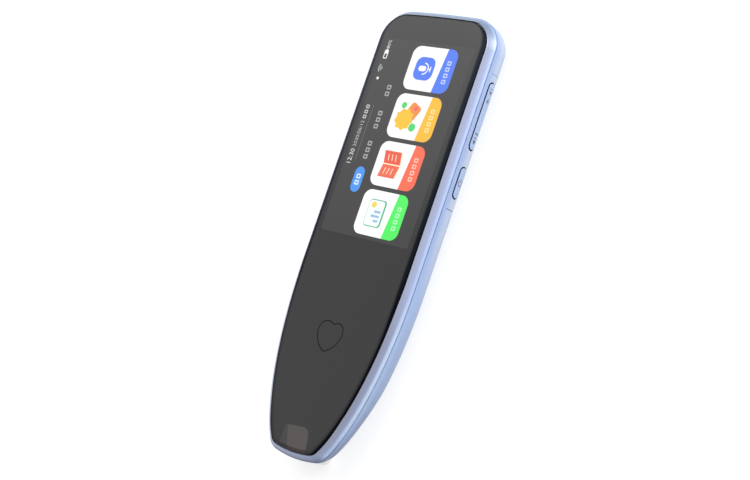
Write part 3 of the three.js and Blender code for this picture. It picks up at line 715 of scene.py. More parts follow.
def painted_wall_shading(colours):
    """Painted shade and light on the walls' lacquer: deeper towards the tip and, along the taper, towards the back, and
    lighter low on the walls from the middle to the top end; plain round the nose.
    """

    def make(tree):
        place = along(tree, "Y", *WALL_REACH)
        lower, upper = (
            ramp(tree, place, [(at, scaled(colours.lacquer, share)) for at, share in stops])
            for stops in (LOWER_WALL, UPPER_WALL)
        )
        walls = mixed(tree, along(tree, "Z", *WALL_HEIGHTS), lower, upper)
        beside = spread(tree, maths(tree, "ABSOLUTE", place_on(tree, "X")), *NOSE_RIM_REACH)
        return mixed(tree, beside, rgba(colours.lacquer), walls)

    return make


def painted_back_light_and_shading(colours):
    """Lacquer with painted light, lightest on the flat of the back, and as on the band beside it."""

    def make(tree):
        share = ramp(tree, along(tree, "Z", 0, REAR_PARTING), [(at, grey(share)) for at, share in BACK_TO_BAND])
        return mixed(tree, share, rgba(colours.back_painted_light), painted_wall_shading(colours)(tree))

    return make


# Print and light under the glass, with a painted reflection and the painted shade of the glass's edge
INK = "ink"
KINDS = ["print", "lit", "edge", "etched"]
# Painted reflection: a faint white veil on the print and on the lit display, growing towards the top end
PAINTED_REFLECTION, LIT_PAINTED_REFLECTION = 0.066, 0.04
EDGE_TONE = np.array((0.06, 0.06, 0.062))
# The glass's painted dark edge: the rows of faces in which it starts and fades in, and its painted light on the
# straight sides
END_EDGE_START, TAPER_EDGE_START, TIP_EDGE_START, EDGE_FADE = 3.5, 1.7, 4.6, 3.0
LATE_FROM, LATE_OVER, LIT_FROM, LIT_OVER = -16.0, 14.0, -20.0, 40.0
LEFT_EDGE_SHARE, TIP_FACING = 1.8, 0.9


def inked(tree):
    """The ink that the mesh stores for each face."""
    return node(tree, "ShaderNodeAttribute", attribute_name=INK, attribute_type="GEOMETRY").outputs["Color"]


def with_painted_reflection(tree, most=PAINTED_REFLECTION):
    """The ink, with a painted reflection: a faint white veil from the middle of the pen to its top end."""
    reflection_share = maths(tree, "MULTIPLY", along(tree, "Y", 0, GLASS_HIGH.y), most)
    return mixed(tree, reflection_share, inked(tree), rgba(grey(1.0)))


# Printed and lit faces: layers of ink flattened into one skin


def anticlockwise(points):
    """An outline turned that way round."""
    area = sum(a[0] * b[1] - b[0] * a[1] for a, b in zip(points, points[1:] + points[:1]))
    return points if area > 0 else points[::-1]


def flatten_layers(layers, lines=()):
    """Paints outlines over each other, last on top, and returns points, triangles and each triangle's ink."""
    points, faces, edges = [], [], []
    for shape, _ in layers:
        faces.append(list(range(len(points), len(points) + len(shape))))
        points += [Vector(p) for p in anticlockwise(shape)]
    for start, end in lines:
        edges.append((len(points), len(points) + 1))
        points += [Vector(start), Vector(end)]
    flat, _, triangles, _, _, owners = delaunay_2d_cdt(points, edges, faces, 1, 1e-6)
    kept = [(t, max(o)) for t, o in zip(triangles, owners) if o and 0 in o]
    return flat, [t for t, _ in kept], [layers[o][1] for _, o in kept]


def bar(x, y, width, height, radius=9.0):
    """A round-ended bar on the screen; width runs across the pen."""
    return rounded(width, height, radius, 5, x, y)


def turned(points, degrees, x, y):
    """Points turned about the origin and then moved."""
    cosine, sine = math.cos(math.radians(degrees)), math.sin(math.radians(degrees))
    return [(x + u * cosine - v * sine, y + u * sine + v * cosine) for u, v in points]


def clipped(points, inside):
    """The part of a convex outline where inside(point) is positive."""
    kept = []
    for a, b in zip(points, points[1:] + points[:1]):
        da, db = inside(a), inside(b)
        if da > 0:
            kept.append(a)
        if (da > 0) != (db > 0):
            t = da / (da - db)
            kept.append((a[0] + (b[0] - a[0]) * t, a[1] + (b[1] - a[1]) * t))
    return kept


def band_arc(radius, width, start, end, x=0.0, y=0.0, steps=16):
    """A curved bar between two angles in degrees."""
    start, end = math.radians(start), math.radians(end)
    outer = [p[:2] for p in arc(x, y, radius + width / 2, start, end, steps)]
    inner = [p[:2] for p in arc(x, y, radius - width / 2, end, start, steps)]
    return outer + inner


def smooth_loop(points, steps=10):
    """A closed curve through its points."""
    count, curve = len(points), []
    for i in range(count):
        p0, p1, p2, p3 = (points[(i + k) % count] for k in (-1, 0, 1, 2))
        for k in range(steps):
            t = k / steps
            curve.append(
                tuple(
                    0.5
                    * (
                        2 * b
                        + (c - a) * t
                        + (2 * a - 5 * b + 4 * c - d) * t * t
                        + (3 * b - a - 3 * c + d) * t**3
                    )
                    for a, b, c, d in zip(p0, p1, p2, p3)
                )
            )
    return curve


def offset_loop(points, width):
    """A closed curve moved inwards, for a line's inner side."""
    moved = []
    for a, b, c in zip(points[-1:] + points[:-1], points, points[1:] + points[:1]):
        dx, dy = c[0] - a[0], c[1] - a[1]
        size = math.hypot(dx, dy)
        moved.append((b[0] - dy / size * width, b[1] + dx / size * width))
    return moved


def figures(text, size):
    """Outlines of a line of figures of that length, centred on the origin, as (outline, is_hole), holes last."""
    curve = bpy.data.curves.new("figures", "FONT")
    curve.body = text
    curve.resolution_u = 3
    curve.offset = -0.012  # thins the strokes
    curve.align_x, curve.align_y = "CENTER", "CENTER"
    piece = new_piece("figures", curve)
    mesh = bpy.data.meshes.new_from_object(piece.evaluated_get(bpy.context.evaluated_depsgraph_get()))
    work = bmesh.new()
    work.from_mesh(mesh)
    bmesh.ops.remove_doubles(work, verts=work.verts, dist=1e-5)
    following = {}
    for edge in work.edges:
        if len(edge.link_faces) == 1:
            for vert in edge.verts:
                following.setdefault(vert, []).append(edge.other_vert(vert))
    loops = []
    while following:
        start = next(iter(following))
        loop, last, here = [start], None, start
        while True:
            ahead = [v for v in following.pop(here) if v is not last and v in following or v is start and v is not last]
            if not ahead or ahead[0] is start:
                break
            last, here = here, ahead[0]
            loop.append(here)
        loops.append([(v.co.x, v.co.y) for v in loop])
    work.free()
    bpy.data.meshes.remove(mesh)
    bpy.data.curves.remove(curve)

    def inside(point, loop):
        crossings = 0
        for (ax, ay), (bx, by) in zip(loop, loop[1:] + loop[:1]):
            if (ay > point[1]) != (by > point[1]):
                crossings += point[0] < ax + (point[1] - ay) / (by - ay) * (bx - ax)
        return crossings % 2 == 1

    low, high = (pick(u for loop in loops for u, _ in loop) for pick in (min, max))
    scale, middle = size / (high - low), (low + high) / 2
    loops = [[((u - middle) * scale, v * scale) for u, v in loop] for loop in loops]
    found = [(loop, any(inside(loop[0], other) for other in loops if other is not loop)) for loop in loops]
    return sorted(found, key=lambda item: item[1])


# The screen's picture. It reads with the tip to the left, so its right is +Y and its up is -X.
DISPLAY_X, DISPLAY_LOW, DISPLAY_HIGH = 17.15, -2.33, 59.57
TILE_LOW_X, TILE_HIGH_X = -5.06, 12.19
TILE_TOP, TILE_SIZE, TILE_PITCH, TILE_CORNER = 58.42, 13.9, 15.23, 2.76

STATUS_X, SIGNS_X, RULE_X, RULE_Y = -15.3, -15.4, -13.2, 29.4
MENU_X, MENU_Y, MENU_WORDS_X = -9.63, 14.72, -9.66

WHITE, LIGHT, GREY, DIM, MENU_BLUE = "#ffffff", "#d2d2d4", "#bdbdbf", "#77787a", "#4596f3"
BLUE, YELLOW, RED, GREEN = "#4c7bf6", "#fdbf2d", "#fb6c4d", "#4ef462"

# Rows of the picture: a tile's band, its blocks and its motif; figures, length, place and ink; blocks and place
FIGURES = (("12:30", 4.5, 21.4, WHITE), ("2030/06/12", 8.3, 28.6, LIGHT), ("80%", 2.7, 57.7, WHITE))
MENU_WORDS = ((24.1, 3), (33.8, 3), (43.2, 2))
BATTERY_Y, WAVES_Y, DOT_Y = 54.4, 49.9, 46.6


def on_screen(points, x, y):
    """Points of the picture, right and up, at a place on the pen."""
    return [(x - v, y + u) for u, v in points]


def voice_icon(x, y):
    """A microphone on a blue square."""
    shapes = [(rounded(7.3, 7.3, 2.3, 8), BLUE)]
    shapes += [(rounded(1.7, 2.9, 9, 8, 0, 0.75), WHITE)]
    shapes += [(band_arc(1.75, 0.36, 180, 360, 0, 0.3), WHITE)]
    shapes += [(rounded(0.36, 0.9, 0.1, 1, 0, -1.85), WHITE), (rounded(1.8, 0.36, 9, 4, 0, -2.3), WHITE)]
    return [(on_screen(points, x, y), ink) for points, ink in shapes]


def star(radius, inner, count):
    """A star or cog outline."""
    turns = [(k * math.pi / count + math.pi / 2, radius if k % 2 == 0 else inner) for k in range(2 * count)]
    return [(r * math.cos(t), r * math.sin(t)) for t, r in turns]


def play_icon(x, y):
    """A star, a tilted card and green dots."""
    shapes = [(turned(rounded(5.0, 4.4, 1.0, 5), -28, 1.7, -1.3), "#f4913c")]
    shapes += [(turned(disc(0.75, 16), 0, 2.7, -2.0), "#f4646c")]
    shapes += [(turned(star(3.6, 3.0, 9), 12, -1.0, 1.2), "#f8c62c")]
    shapes += [(disc(1.0, 18, 3.3, 2.7), "#4fd873"), (disc(1.3, 18, -3.1, -2.8), "#4fd873")]
    return [(on_screen(points, x, y), ink) for points, ink in shapes]


def book_icon(x, y):
    """An open book with lines on both pages."""
    page = [(0, -3.9), (4.1, -3.1), (4.1, 3.9), (0, 3.1)]
    shapes = []
    for side in (1, -1):
        shapes.append(([(side * u, v) for u, v in page], "#ee5a41" if side > 0 else "#f26a4e"))
        for v in (1.5, 0.1, -1.3):
            line = [(side * 1.1, v), (side * 3.1, v + 0.4), (side * 3.1, v + 0.75), (side * 1.1, v + 0.35)]
            shapes.append((line, "#ffd9b8"))
        shapes.append(([(side * u, v) for u, v in ((0, -3.9), (4.1, -3.1), (4.1, -2.5), (0, -3.3))], "#fff1d2"))
    shapes.append((rounded(0.36, 7.0, 0.1, 1, 0, -0.4), "#fff1d2"))
    return [(on_screen(points, x, y), ink) for points, ink in shapes]


def chart_icon(x, y):
    """A green card with blue bars and a yellow dot."""
    shapes = [(rounded(8.4, 6.6, 1.1, 5, 0, -0.15), "#45b98a"), (rounded(7.8, 5.9, 0.85, 5, 0, 0.1), "#f6fff9")]
    for u, height in ((-2.3, 1.9), (-0.9, 3.3), (0.5, 2.5)):
        shapes.append((rounded(0.75, height, 0.2, 3, u, height / 2 - 2.1), "#9fc0e8"))
    shapes.append((disc(0.95, 18, 2.5, 1.2), "#f7dc55"))
    return [(on_screen(points, x, y), ink) for points, ink in shapes]


def words(x, y, count, size, pitch, ink, ground):
    """A row of small hollow blocks in place of a word, centred on a point."""
    first = y - (count - 1) * pitch / 2
    layers = []
    for k in range(count):
        layers.append((bar(x, first + k * pitch, size, size * 0.9, 0.2), ink))
        layers.append((bar(x, first + k * pitch, size * 0.5, size * 0.4, 0.1), ground))
    return layers


def tile(index, ink, label_ink, icon, words_count):
    """A white tile with a coloured band on the keys' side, whose inner edge leans a little."""
    high = TILE_TOP - index * TILE_PITCH
    middle = high - TILE_SIZE / 2
    centre_x = (TILE_LOW_X + TILE_HIGH_X) / 2
    whole = rounded(TILE_HIGH_X - TILE_LOW_X, TILE_SIZE, TILE_CORNER, 8, centre_x, middle)
    white = clipped(whole, lambda p: 7.2 + 0.108 * (p[1] - middle) - p[0])
    layers = [(whole, ink), (white, WHITE)]
    layers += icon(1.15, middle)
    return layers + words(9.75, middle - 0.3, words_count, 1.5, 1.95, label_ink, ink)


def screen_picture(display_ink):
    """Layers of the picture: four tiles, a menu row and a status row, with blocks in place of words."""
    tiles = (
        (BLUE, "#c6d5fd", voice_icon, 4),
        (YELLOW, "#fee69e", play_icon, 4),
        (RED, "#fec6b6", book_icon, 4),
        (GREEN, "#b8fcc0", chart_icon, 4),
    )
    layers = [layer for index, row in enumerate(tiles) for layer in tile(index, *row)]
    layers.append((bar(MENU_X, MENU_Y, 3.74, 8.05), MENU_BLUE))
    layers += words(MENU_X, MENU_Y, 2, 1.6, 2.0, "#e4f1ff", MENU_BLUE)
    for y, count in MENU_WORDS:
        layers += words(MENU_WORDS_X, y, count, 1.6, 2.1, "#a6a6a8", display_ink)
    layers.append((bar(RULE_X, RULE_Y, 0.14, 17.8, 0.05), DIM))
    for text, size, y, ink in FIGURES:
        for outline_points, hole in figures(text, size):
            layers.append((on_screen(outline_points, STATUS_X, y), display_ink if hole else ink))
    layers += words(STATUS_X, 35.7, 3, 1.3, 1.65, "#c6c6c8", display_ink)
    layers.append((bar(SIGNS_X, BATTERY_Y, 1.5, 2.8, 0.35), WHITE))
    layers.append((bar(SIGNS_X, BATTERY_Y - 0.45, 0.9, 1.3, 0.1), display_ink))
    layers.append((bar(SIGNS_X, BATTERY_Y + 1.6, 0.6, 0.3, 0.1), WHITE))
    for radius in (0.55, 1.15, 1.75):
        layers.append((on_screen(band_arc(radius, 0.28, 45, 135, 0, -0.8), SIGNS_X, WAVES_Y), GREY))
    layers.append((on_screen(disc(0.45, 12), SIGNS_X, DOT_Y), WHITE))
    return layers


def paint_faces(mesh, inks):
    """Stores each face's ink on its corners."""
    attribute = mesh.attributes.new(INK, "FLOAT_COLOR", "CORNER")
    colours = np.ones((len(mesh.loops), 4), np.float32)
    for polygon, ink in zip(mesh.polygons, inks):
        shade = srgb(ink) if isinstance(ink, str) else ink
        colours[polygon.loop_start : polygon.loop_start + polygon.loop_total, :3] = shade
    attribute.data.foreach_set("color", colours.ravel())


def paint_edge(mesh, start, rows, dark, lit):
    """Stores painted shade and reflection of the glass's edge on its corners: a wide dark edge along the sides, a thin
    one at the ends.
    """
    shades = {}
    for k in range(rows):
        for i, (x, y, nx, ny) in enumerate(FACE):
            reflection_share = PAINTED_REFLECTION * clamp(y / GLASS_HIGH.y)
            print_tone = EDGE_TONE + (1 - EDGE_TONE) * reflection_share
            if ny < -TIP_FACING and TIP_WINDOW[0][0] < x < TIP_WINDOW[1][0]:
                print_tone = np.array(srgb(WINDOW_INK))
            side = abs(nx) ** 1.5
            late = TAPER_EDGE_START * clamp((LATE_FROM - y) / LATE_OVER)
            end = TIP_EDGE_START if ny < 0 else END_EDGE_START
            share = clamp((k - late - (end - late) * (1 - side)) / EDGE_FADE)
            shown = lit * (LEFT_EDGE_SHARE if nx < 0 else 1)
            tone = dark + (shown - dark) * clamp((y - LIT_FROM) / LIT_OVER) * side
            shades[start + k * len(FACE) + i] = print_tone + (tone - print_tone) * share
    colours = mesh.attributes[INK].data
    for loop in mesh.loops:
        if loop.vertex_index in shades:
            colours[loop.index].color = rgba(shades[loop.vertex_index])


HEART = [(-0.5, -37.35), (-3.1, -35.6), (-4.9, -32.6), (-4.6, -29.4), (-2.6, -28.1), (-0.7, -28.25), (0.2, -28.65)]
HEART += [(1.2, -28.3), (2.7, -28.15), (4.3, -29.4), (4.7, -32.0), (3.4, -34.7), (1.4, -36.5)]
WINDOW_INK = "#544d4c"
TIP_SHADE = [(-4.7, -66.7), (5.9, -66.7), (4.9, -61.6), (4.1, -60.2), (2.6, -59.6), (-4.4, -60.4), (-5.0, -61.2)]
TIP_WINDOW = [(-1.7, -66.5), (5.6, -66.5), (4.7, -61.7), (4.0, -60.4), (2.5, -59.8), (-3.6, -60.4), (-3.9, -60.9)]


# Operators


class PEN_OT_front_frame(Operator):
    """Sloping bezel round the glass, with the ledge that the glass lies on"""

    bl_idname = "pen.front_frame"
    bl_label = "Front frame"

    def execute(self, context):
        sizes, colours = context.scene.pen_sizes, context.scene.pen_colours
        lip = GLASS_HIGH.z - sizes.lip_drop
        down = np.clip((TAPER_Y - FACE[:, 1]) / TAPER_GAP_FADE, 0, 1)
        up = np.clip((FACE[:, 1] - GLASS_LOW.y) / TAPER_GAP_FADE - 1, 0, 1)
        gap = GLASS_GAP - (GLASS_GAP - TAPER_GAP) * down * up
        width, drop = RIM - gap, lip - FRONT_PARTING
        steps = 2 * EDGE_STEPS
        section = [(gap, GLASS_LOW.z - SEAT_GAP), (gap, lip - sizes.edge_break)]
        for k in range(steps + 1):
            share = k / steps
            bulge = sizes.bezel_bulge * math.sin(math.pi * share)
            out = gap + width * min(share + bulge / 2, 1)
            z = lip - (drop - PARTING_GAP / 2) * max(share - bulge / 2, 0)
            section.append((np.maximum(out, gap + sizes.edge_break) if k == 0 else out, z))
        low = FRONT_PARTING + PARTING_GAP / 2 + BEZEL_FOOT
        section[-1] = (RIM, low + 1.5 * sizes.edge_break)
        section.append((RIM - 1.5 * sizes.edge_break, low))
        skirt, skirt_low = RIM - WALL - SKIRT_GAP, FRAME_FOOT + SKIRT_LIFT
        section += [(skirt, low), (skirt, skirt_low), (skirt - SKIRT_WALL, skirt_low), (skirt - SKIRT_WALL, LEDGE_Z)]
        section += [(-LEDGE_REACH, LEDGE_Z), (-LEDGE_REACH, GLASS_LOW.z - SEAT_GAP)]
        piece = loft("bezel_frame", [rim(out, z) for out, z in section], ring=True)
        smooth(piece)
        for face in piece.data.polygons:
            low_z, high_z = (pick(piece.data.vertices[v].co.z for v in face.vertices) * METRE for pick in (min, max))
            face.material_index = int(low_z < GLASS_LOW.z and high_z > lip - 2 * sizes.edge_break)
        # Dark painted shadow on the bezel's inner wall in the gap, so that the glass ends in a thin black line
        glass_gap_painted_shadow = principled("bezel_gap_painted_shadow", colours.glass_gap_painted_shadow[:], 0.9, bump=(0.2, 0.2))
        finish_piece(piece, "front_frame", [pearl_lacquer("pearl_lacquer_painted_shade_bezel", painted_bezel_shading(colours)), glass_gap_painted_shadow])
        return {"FINISHED"}


class PEN_OT_mid_frame(Operator):
    """Band between the two parting lines, with the strips that carry the keys and the socket"""

    bl_idname = "pen.mid_frame"
    bl_label = "Mid frame"

    def execute(self, context):
        sizes, colours = context.scene.pen_sizes, context.scene.pen_colours
        piece = lower_shell("band_frame", BAND_HIGH.z)
        away = slab_below(REAR_PARTING + PARTING_GAP / 2)
        for plug in (strip_plug(0), socket_plug(0), carve(nose_plug(NOSE_RIM), nose_plug(0))):
            carve(away, plug)
        carve(piece, away)
        slot_width = KEY_WIDTH + 2 * sizes.key_gap
        for low, high in KEYS:
            size = high.y - low.y - 2 * FLANGE_RIM + 2 * sizes.key_gap
            hole = rounded(size, slot_width, SIDE_X, 2 * PLUG_STEPS, (low.y + high.y) / 2, KEY_Z)
            carve(piece, prism("key_hole", hole, "X", SIDE_X - 2 * WALL, SIDE_X + OVERRUN))
        middle = (SOCKET_LOW + SOCKET_HIGH) / 2
        wide, tall = SOCKET_HIGH.x - SOCKET_LOW.x, SOCKET_HIGH.z - SOCKET_LOW.z
        mouth = rounded(wide + 2 * SEAT_GAP, tall + 2 * SEAT_GAP, SIDE_X, 2 * PLUG_STEPS, 0, middle.z)
        carve(piece, prism("mouth", mouth, "Y", TOP_Y - 3 * WALL, TOP_Y + OVERRUN))
        pinhole = disc(PINHOLE_RADIUS, 24, PINHOLE_X, middle.z)
        carve(piece, prism("pinhole", pinhole, "Y", TOP_Y - 3 * WALL, TOP_Y + OVERRUN))
        break_edges(piece, sizes.edge_break)
        smooth(piece)
        # The walls of the key slots get the painted shadow
        for face in piece.data.polygons:
            place = face.center * METRE
            in_slot = place.x > SIDE_X - 2 * WALL and abs(place.z - KEY_Z) < slot_width / 2 + 0.01
            in_slot = in_slot and any(low.y < place.y < high.y for low, high in KEYS)
            face.material_index = int(in_slot and abs(face.normal.x) < 0.3)
        # The slots' walls take a dark, dull painted shadow, so that each key has a drawn outline
        slot_shadow = principled("key_slot_painted_shadow", colours.shadow_gap[:], 0.6, bump=(0.2, 0.1))
        finish_piece(piece, "mid_frame", [pearl_lacquer("pearl_lacquer_painted_shade_band", painted_wall_shading(colours), **WALL_COAT), slot_shadow])
        return {"FINISHED"}


# Runs of holes on the triangular grid, as (first place, step, count) in pitches, counted from the camera
ROW = math.sqrt(0.75)
HOLE_RUNS = [((-(count - 1) / 2, ROW * row), (1, 0), count) for count, row in ((5, 6), (6, 5), (7, 4), (6, 3))]
DIMPLE_RUNS = [((-1.5, ROW * 7), (1, 0), 4)]
DIMPLE_RUNS += [
    ((-2.0, ROW * 2), (1, 0), 4),
    ((2.0, ROW * 2), (0.5, -ROW), 2),
    ((3.0, 0.0), (-0.5, -ROW), 3),
    ((1.5, -ROW * 3), (-1, 0), 3),
    ((-1.5, -ROW * 3), (-0.5, ROW), 3),
    ((-3.0, 0.0), (0.5, ROW), 2),
]


def new_tree(name, inputs):
    """A geometry tree with named inputs after its geometry, and what they give."""
    tree = bpy.data.node_groups.new(name, "GeometryNodeTree")
    for label, kind in (("Geometry", "Geometry"), *inputs.items()):
        tree.interface.new_socket(label, in_out="INPUT", socket_type="NodeSocket" + kind)
    tree.interface.new_socket("Geometry", in_out="OUTPUT", socket_type="NodeSocketGeometry")
    return tree, node(tree, "NodeGroupInput").outputs


def end_tree(tree, geometry, finish):
    """Makes the instances real, gives them their finish and hands them on."""
    real = node(tree, "GeometryNodeRealizeInstances", {"Geometry": geometry})
    done = node(tree, "GeometryNodeSetMaterial", {"Geometry": real.outputs["Geometry"], "Material": finish})
    node(tree, "NodeGroupOutput", {"Geometry": done.outputs["Geometry"]})
    return tree


def point_row(tree, count, start, step):
    """Points in a straight row."""
    inputs = {"Count": count, "Start Location": start, "Offset": step}
    return node(tree, "GeometryNodeMeshLine", inputs, mode="OFFSET").outputs["Mesh"]


def copies(tree, points, shape):
    """A shape at each point."""
    return node(tree, "GeometryNodeInstanceOnPoints", {"Points": points, "Instance": shape}).outputs["Instances"]


def grille_tree(finish):
    """Geometry nodes that drill rows of holes and dimples through the rear cover."""
    lengths = dict.fromkeys(("Pitch", "Hole Radius", "Through Depth", "Bowl Radius", "Bowl Rise"), "Float")
    tree, given = new_tree("speaker_grille", lengths | {"Sides": "Int"})
    drills = []
    for runs, through in ((HOLE_RUNS, True), (DIMPLE_RUNS, False)):
        joined = node(tree, "GeometryNodeJoinGeometry")
        for first, step, count in reversed(runs):
            start, offset = (vectors(tree, "SCALE", {0: (*way, 0), "Scale": given["Pitch"]}) for way in (first, step))
            place = vectors(tree, "ADD", {0: start, 1: (0, CAMERA_Y / METRE, 0)})
            row = point_row(tree, count, place, offset)
            tree.links.new(row, joined.inputs["Geometry"])
        points = joined.outputs["Geometry"]
        if through:
            size = {"Vertices": given["Sides"], "Radius": given["Hole Radius"], "Depth": given["Through Depth"]}
            drill = node(tree, "GeometryNodeMeshCylinder", size)
        else:
            size = {"Segments": given["Sides"], "Rings": 24, "Radius": given["Bowl Radius"]}
            drill = node(tree, "GeometryNodeMeshUVSphere", size)
            lift = node(tree, "ShaderNodeCombineXYZ", {"Z": given["Bowl Rise"]}).outputs["Vector"]
            points = node(tree, "GeometryNodeSetPosition", {"Geometry": points, "Offset": lift}).outputs["Geometry"]
        placed = copies(tree, points, drill.outputs["Mesh"])
        drills.append(node(tree, "GeometryNodeRealizeInstances", {"Geometry": placed}))
    cut = node(tree, "GeometryNodeMeshBoolean", operation="DIFFERENCE", solver="MANIFOLD")
    tree.links.new(given["Geometry"], cut.inputs["Mesh 1"])
    for drill in drills:
        tree.links.new(drill.outputs["Geometry"], cut.inputs["Mesh 2"])
    return end_tree(tree, cut.outputs["Mesh"], finish)


def run_tree(piece, tree, values):
    """Runs a geometry tree on a piece with values for its named inputs and makes the result real."""
    modifier = piece.modifiers.new(tree.name, "NODES")
    modifier.node_group = tree
    for item in tree.interface.items_tree:
        if item.in_out == "INPUT" and item.name in values:
            modifier[item.identifier] = values[item.name]
    return settle(piece)


class PEN_OT_rear_cover(Operator):
    """Rounded rear cover with the speaker's holes, the ring of dimples and the openings"""

    bl_idname = "pen.rear_cover"
    bl_label = "Rear cover"

    def execute(self, context):
        sizes, colours = context.scene.pen_sizes, context.scene.pen_colours
        piece = lower_shell("rounded_cover", COVER_TOP, sizes.cover_step)
        for plug in (strip_plug(STRIP_GAP), socket_plug(STRIP_GAP), nose_plug(NOSE_RIM + SEAT_GAP)):
            carve(piece, plug)
        hole = disc(RING_HIGH.x + SEAT_GAP, 96, 0, CAMERA_Y)
        carve(piece, prism("camera_hole", hole, "Z", -OVERRUN, 2 * OVERRUN))
        break_edges(piece, sizes.edge_break)
        lacquer = pearl_lacquer("pearl_lacquer_painted_light_back", painted_back_light_and_shading(colours), **WALL_COAT)
        depth, radius = sizes.dimple_depth, sizes.hole_radius
        bowl = (radius**2 + depth**2) / (2 * depth)
        values = {
            "Pitch": sizes.hole_pitch / METRE,
            "Hole Radius": radius / METRE,
            "Through Depth": 2 * OVERRUN / METRE,
            "Bowl Radius": bowl / METRE,
            "Bowl Rise": (depth - bowl) / METRE,
            "Sides": sizes.hole_sides,
        }
        run_tree(piece, grille_tree(lacquer), values)
        smooth(piece)
        finish_piece(piece, "rear_cover", [lacquer])
        return {"FINISHED"}


class PEN_OT_cover_glass(Operator):
    """Cover glass with a rounded edge, its print, and the lit picture of the display"""

    bl_idname = "pen.cover_glass"
    bl_label = "Cover glass"

    def execute(self, context):
        sizes, colours = context.scene.pen_sizes, context.scene.pen_colours
        top = GLASS_HIGH.z
        walls = []
        for k in range(EDGE_STEPS + 1):
            turn = k / EDGE_STEPS * math.pi / 2
            out = -sizes.glass_inset * (1 - math.sin(turn))
            walls.append(rim(out, top - sizes.glass_drop * (1 - math.cos(turn))))
        walls.append(rim(0, GLASS_LOW.z))
        face = [tuple(p[:2]) for p in walls[0]]
        display = rounded(2 * DISPLAY_X, DISPLAY_HIGH - DISPLAY_LOW, 0.6, 4, 0, (DISPLAY_HIGH + DISPLAY_LOW) / 2)
        black, lit = tuple(colours.glass_print), tuple(colours.display)
        heart = smooth_loop(anticlockwise(HEART))
        layers = [(face, ("print", black)), (display, ("lit", lit))]
        layers += [(shape, ("lit", ink)) for shape, ink in screen_picture(lit)]
        layers += [(heart, ("etched", "#1d1d1e")), (offset_loop(heart, sizes.heart_line), ("print", black))]
        layers += [(TIP_SHADE, ("print", "#383a37")), (TIP_WINDOW, ("print", WINDOW_INK))]
        flat, triangles, inks = flatten_layers(layers)
        mesh = skinned("printed_glass", [(p.x, p.y, top) for p in flat], triangles, walls)
        rest = len(mesh.polygons) - len(inks)
        kinds = [KINDS.index(kind) for kind, _ in inks] + [KINDS.index("edge")] * rest
        mesh.polygons.foreach_set("material_index", kinds)
        paint_faces(mesh, [ink for _, ink in inks] + [black] * rest)
        paint_edge(mesh, len(flat), len(walls), np.array(colours.glass_edge), np.array(colours.glass_edge_lit))
        piece = smooth(new_piece("printed_glass", face_outwards(mesh)), 40, KINDS.index("edge"))
        finishes = [
            # Polished glass over black print: deep, even dark with a sharp, weak mirror of the studio, and a painted
            # reflection that pales it towards the top end
            principled("glass_over_print", with_painted_reflection, 0.06),
            # Lit liquid crystal display behind polished glass: its pixels give their own light, with a faint painted
            # reflection towards the top end
            principled(
                "lit_display_under_glass",
                grey(0.0),
                0.06,
                Emission_Color=lambda tree: with_painted_reflection(tree, LIT_PAINTED_REFLECTION),
                Emission_Strength=1.0,
            ),
            # Rounded edge of the glass: its inks are painted shade and reflection, a soft dark border, under a rough,
            # faint mirror
            principled("rounded_edge_painted_shade_and_reflection", inked, 0.35, bump=(0.2, 0.02), Specular_IOR_Level=0.03),
            # The laser's dull line shows only as a darker trace in the polish
            principled("laser_etched_line", inked, 0.8, bump=(0.2, 0.2), Specular_IOR_Level=0.1),
        ]
        finish_piece(piece, "cover_glass", finishes)
        return {"FINISHED"}


# Finishes of the keys, in their order
KEY_LACQUER, KEY_RED, KEY_SLATE, KEY_GAP_SHADOW = range(4)


def key_surface(v):
    """How far out a key's face lies at a height, following the case's own curve."""
    sine = clamp((FILLET_HEIGHT - v) / FILLET_HEIGHT)
    return SIDE_X + KEY_PROUD - (FILLET_WIDTH + KEY_PROUD) * (1 - math.sqrt(1 - sine * sine))


def key_mesh(name, low, high, marks, round_edge):
    """A key's cap: printed marks flush in a face that follows the case, with a rounded edge."""
    middle, size = (low.y + high.y) / 2, high.y - low.y - 2 * FLANGE_RIM
    walls = []
    for k in range(EDGE_STEPS + 1):
        turn = k / EDGE_STEPS * math.pi / 2
        inset = round_edge * (1 - math.sin(turn))
        loop = rounded(size - 2 * inset, KEY_WIDTH - 2 * inset, SIDE_X, 2 * PLUG_STEPS, middle, KEY_Z)
        walls.append([(key_surface(v) - round_edge * (1 - math.cos(turn)), u, v) for u, v in loop])
    walls.append([(low.x + KEY_BACK, u, v) for _, u, v in walls[-1]])
    face = [(u, v) for _, u, v in walls[0]]
    levels = np.arange(KEY_Z - KEY_WIDTH / 2 + round_edge, FILLET_HEIGHT, 0.1)[1:]
    reach = size / 2 - KEY_WIDTH / 2
    lines = [((middle - reach, v), (middle + reach, v)) for v in levels]
    layers = [(face, KEY_LACQUER)] + [([(middle + u, KEY_Z + v) for u, v in shape], ink) for shape, ink in marks]
    flat, triangles, inks = flatten_layers(layers, lines)
    mesh = skinned(name, [(key_surface(p.y), p.x, p.y) for p in flat], triangles, walls)
    # The flanks below the rounded edge and the cap take the painted shadow
    hidden = len(face) + 1
    lacquered = len(mesh.polygons) - len(inks) - hidden
    mesh.polygons.foreach_set("material_index", [*inks, *[KEY_LACQUER] * lacquered, *[KEY_GAP_SHADOW] * hidden])
    return face_outwards(mesh)


def speaker_mark(ink, along_key):
    """A loudspeaker with one sound wave; it reads with the pen's top end up."""
    cone = [(-0.35, 0.9), (0.35, 0.9), (0.35, 0.5), (0.95, -0.1), (-0.95, -0.1), (-0.35, 0.5)]
    shapes = [[(along_key - v, u) for u, v in cone]]
    shapes.append([(along_key - v, u) for u, v in band_arc(0.75, 0.26, 210, 330, 0, -0.2, 8)])
    return [(shape, ink) for shape in shapes]


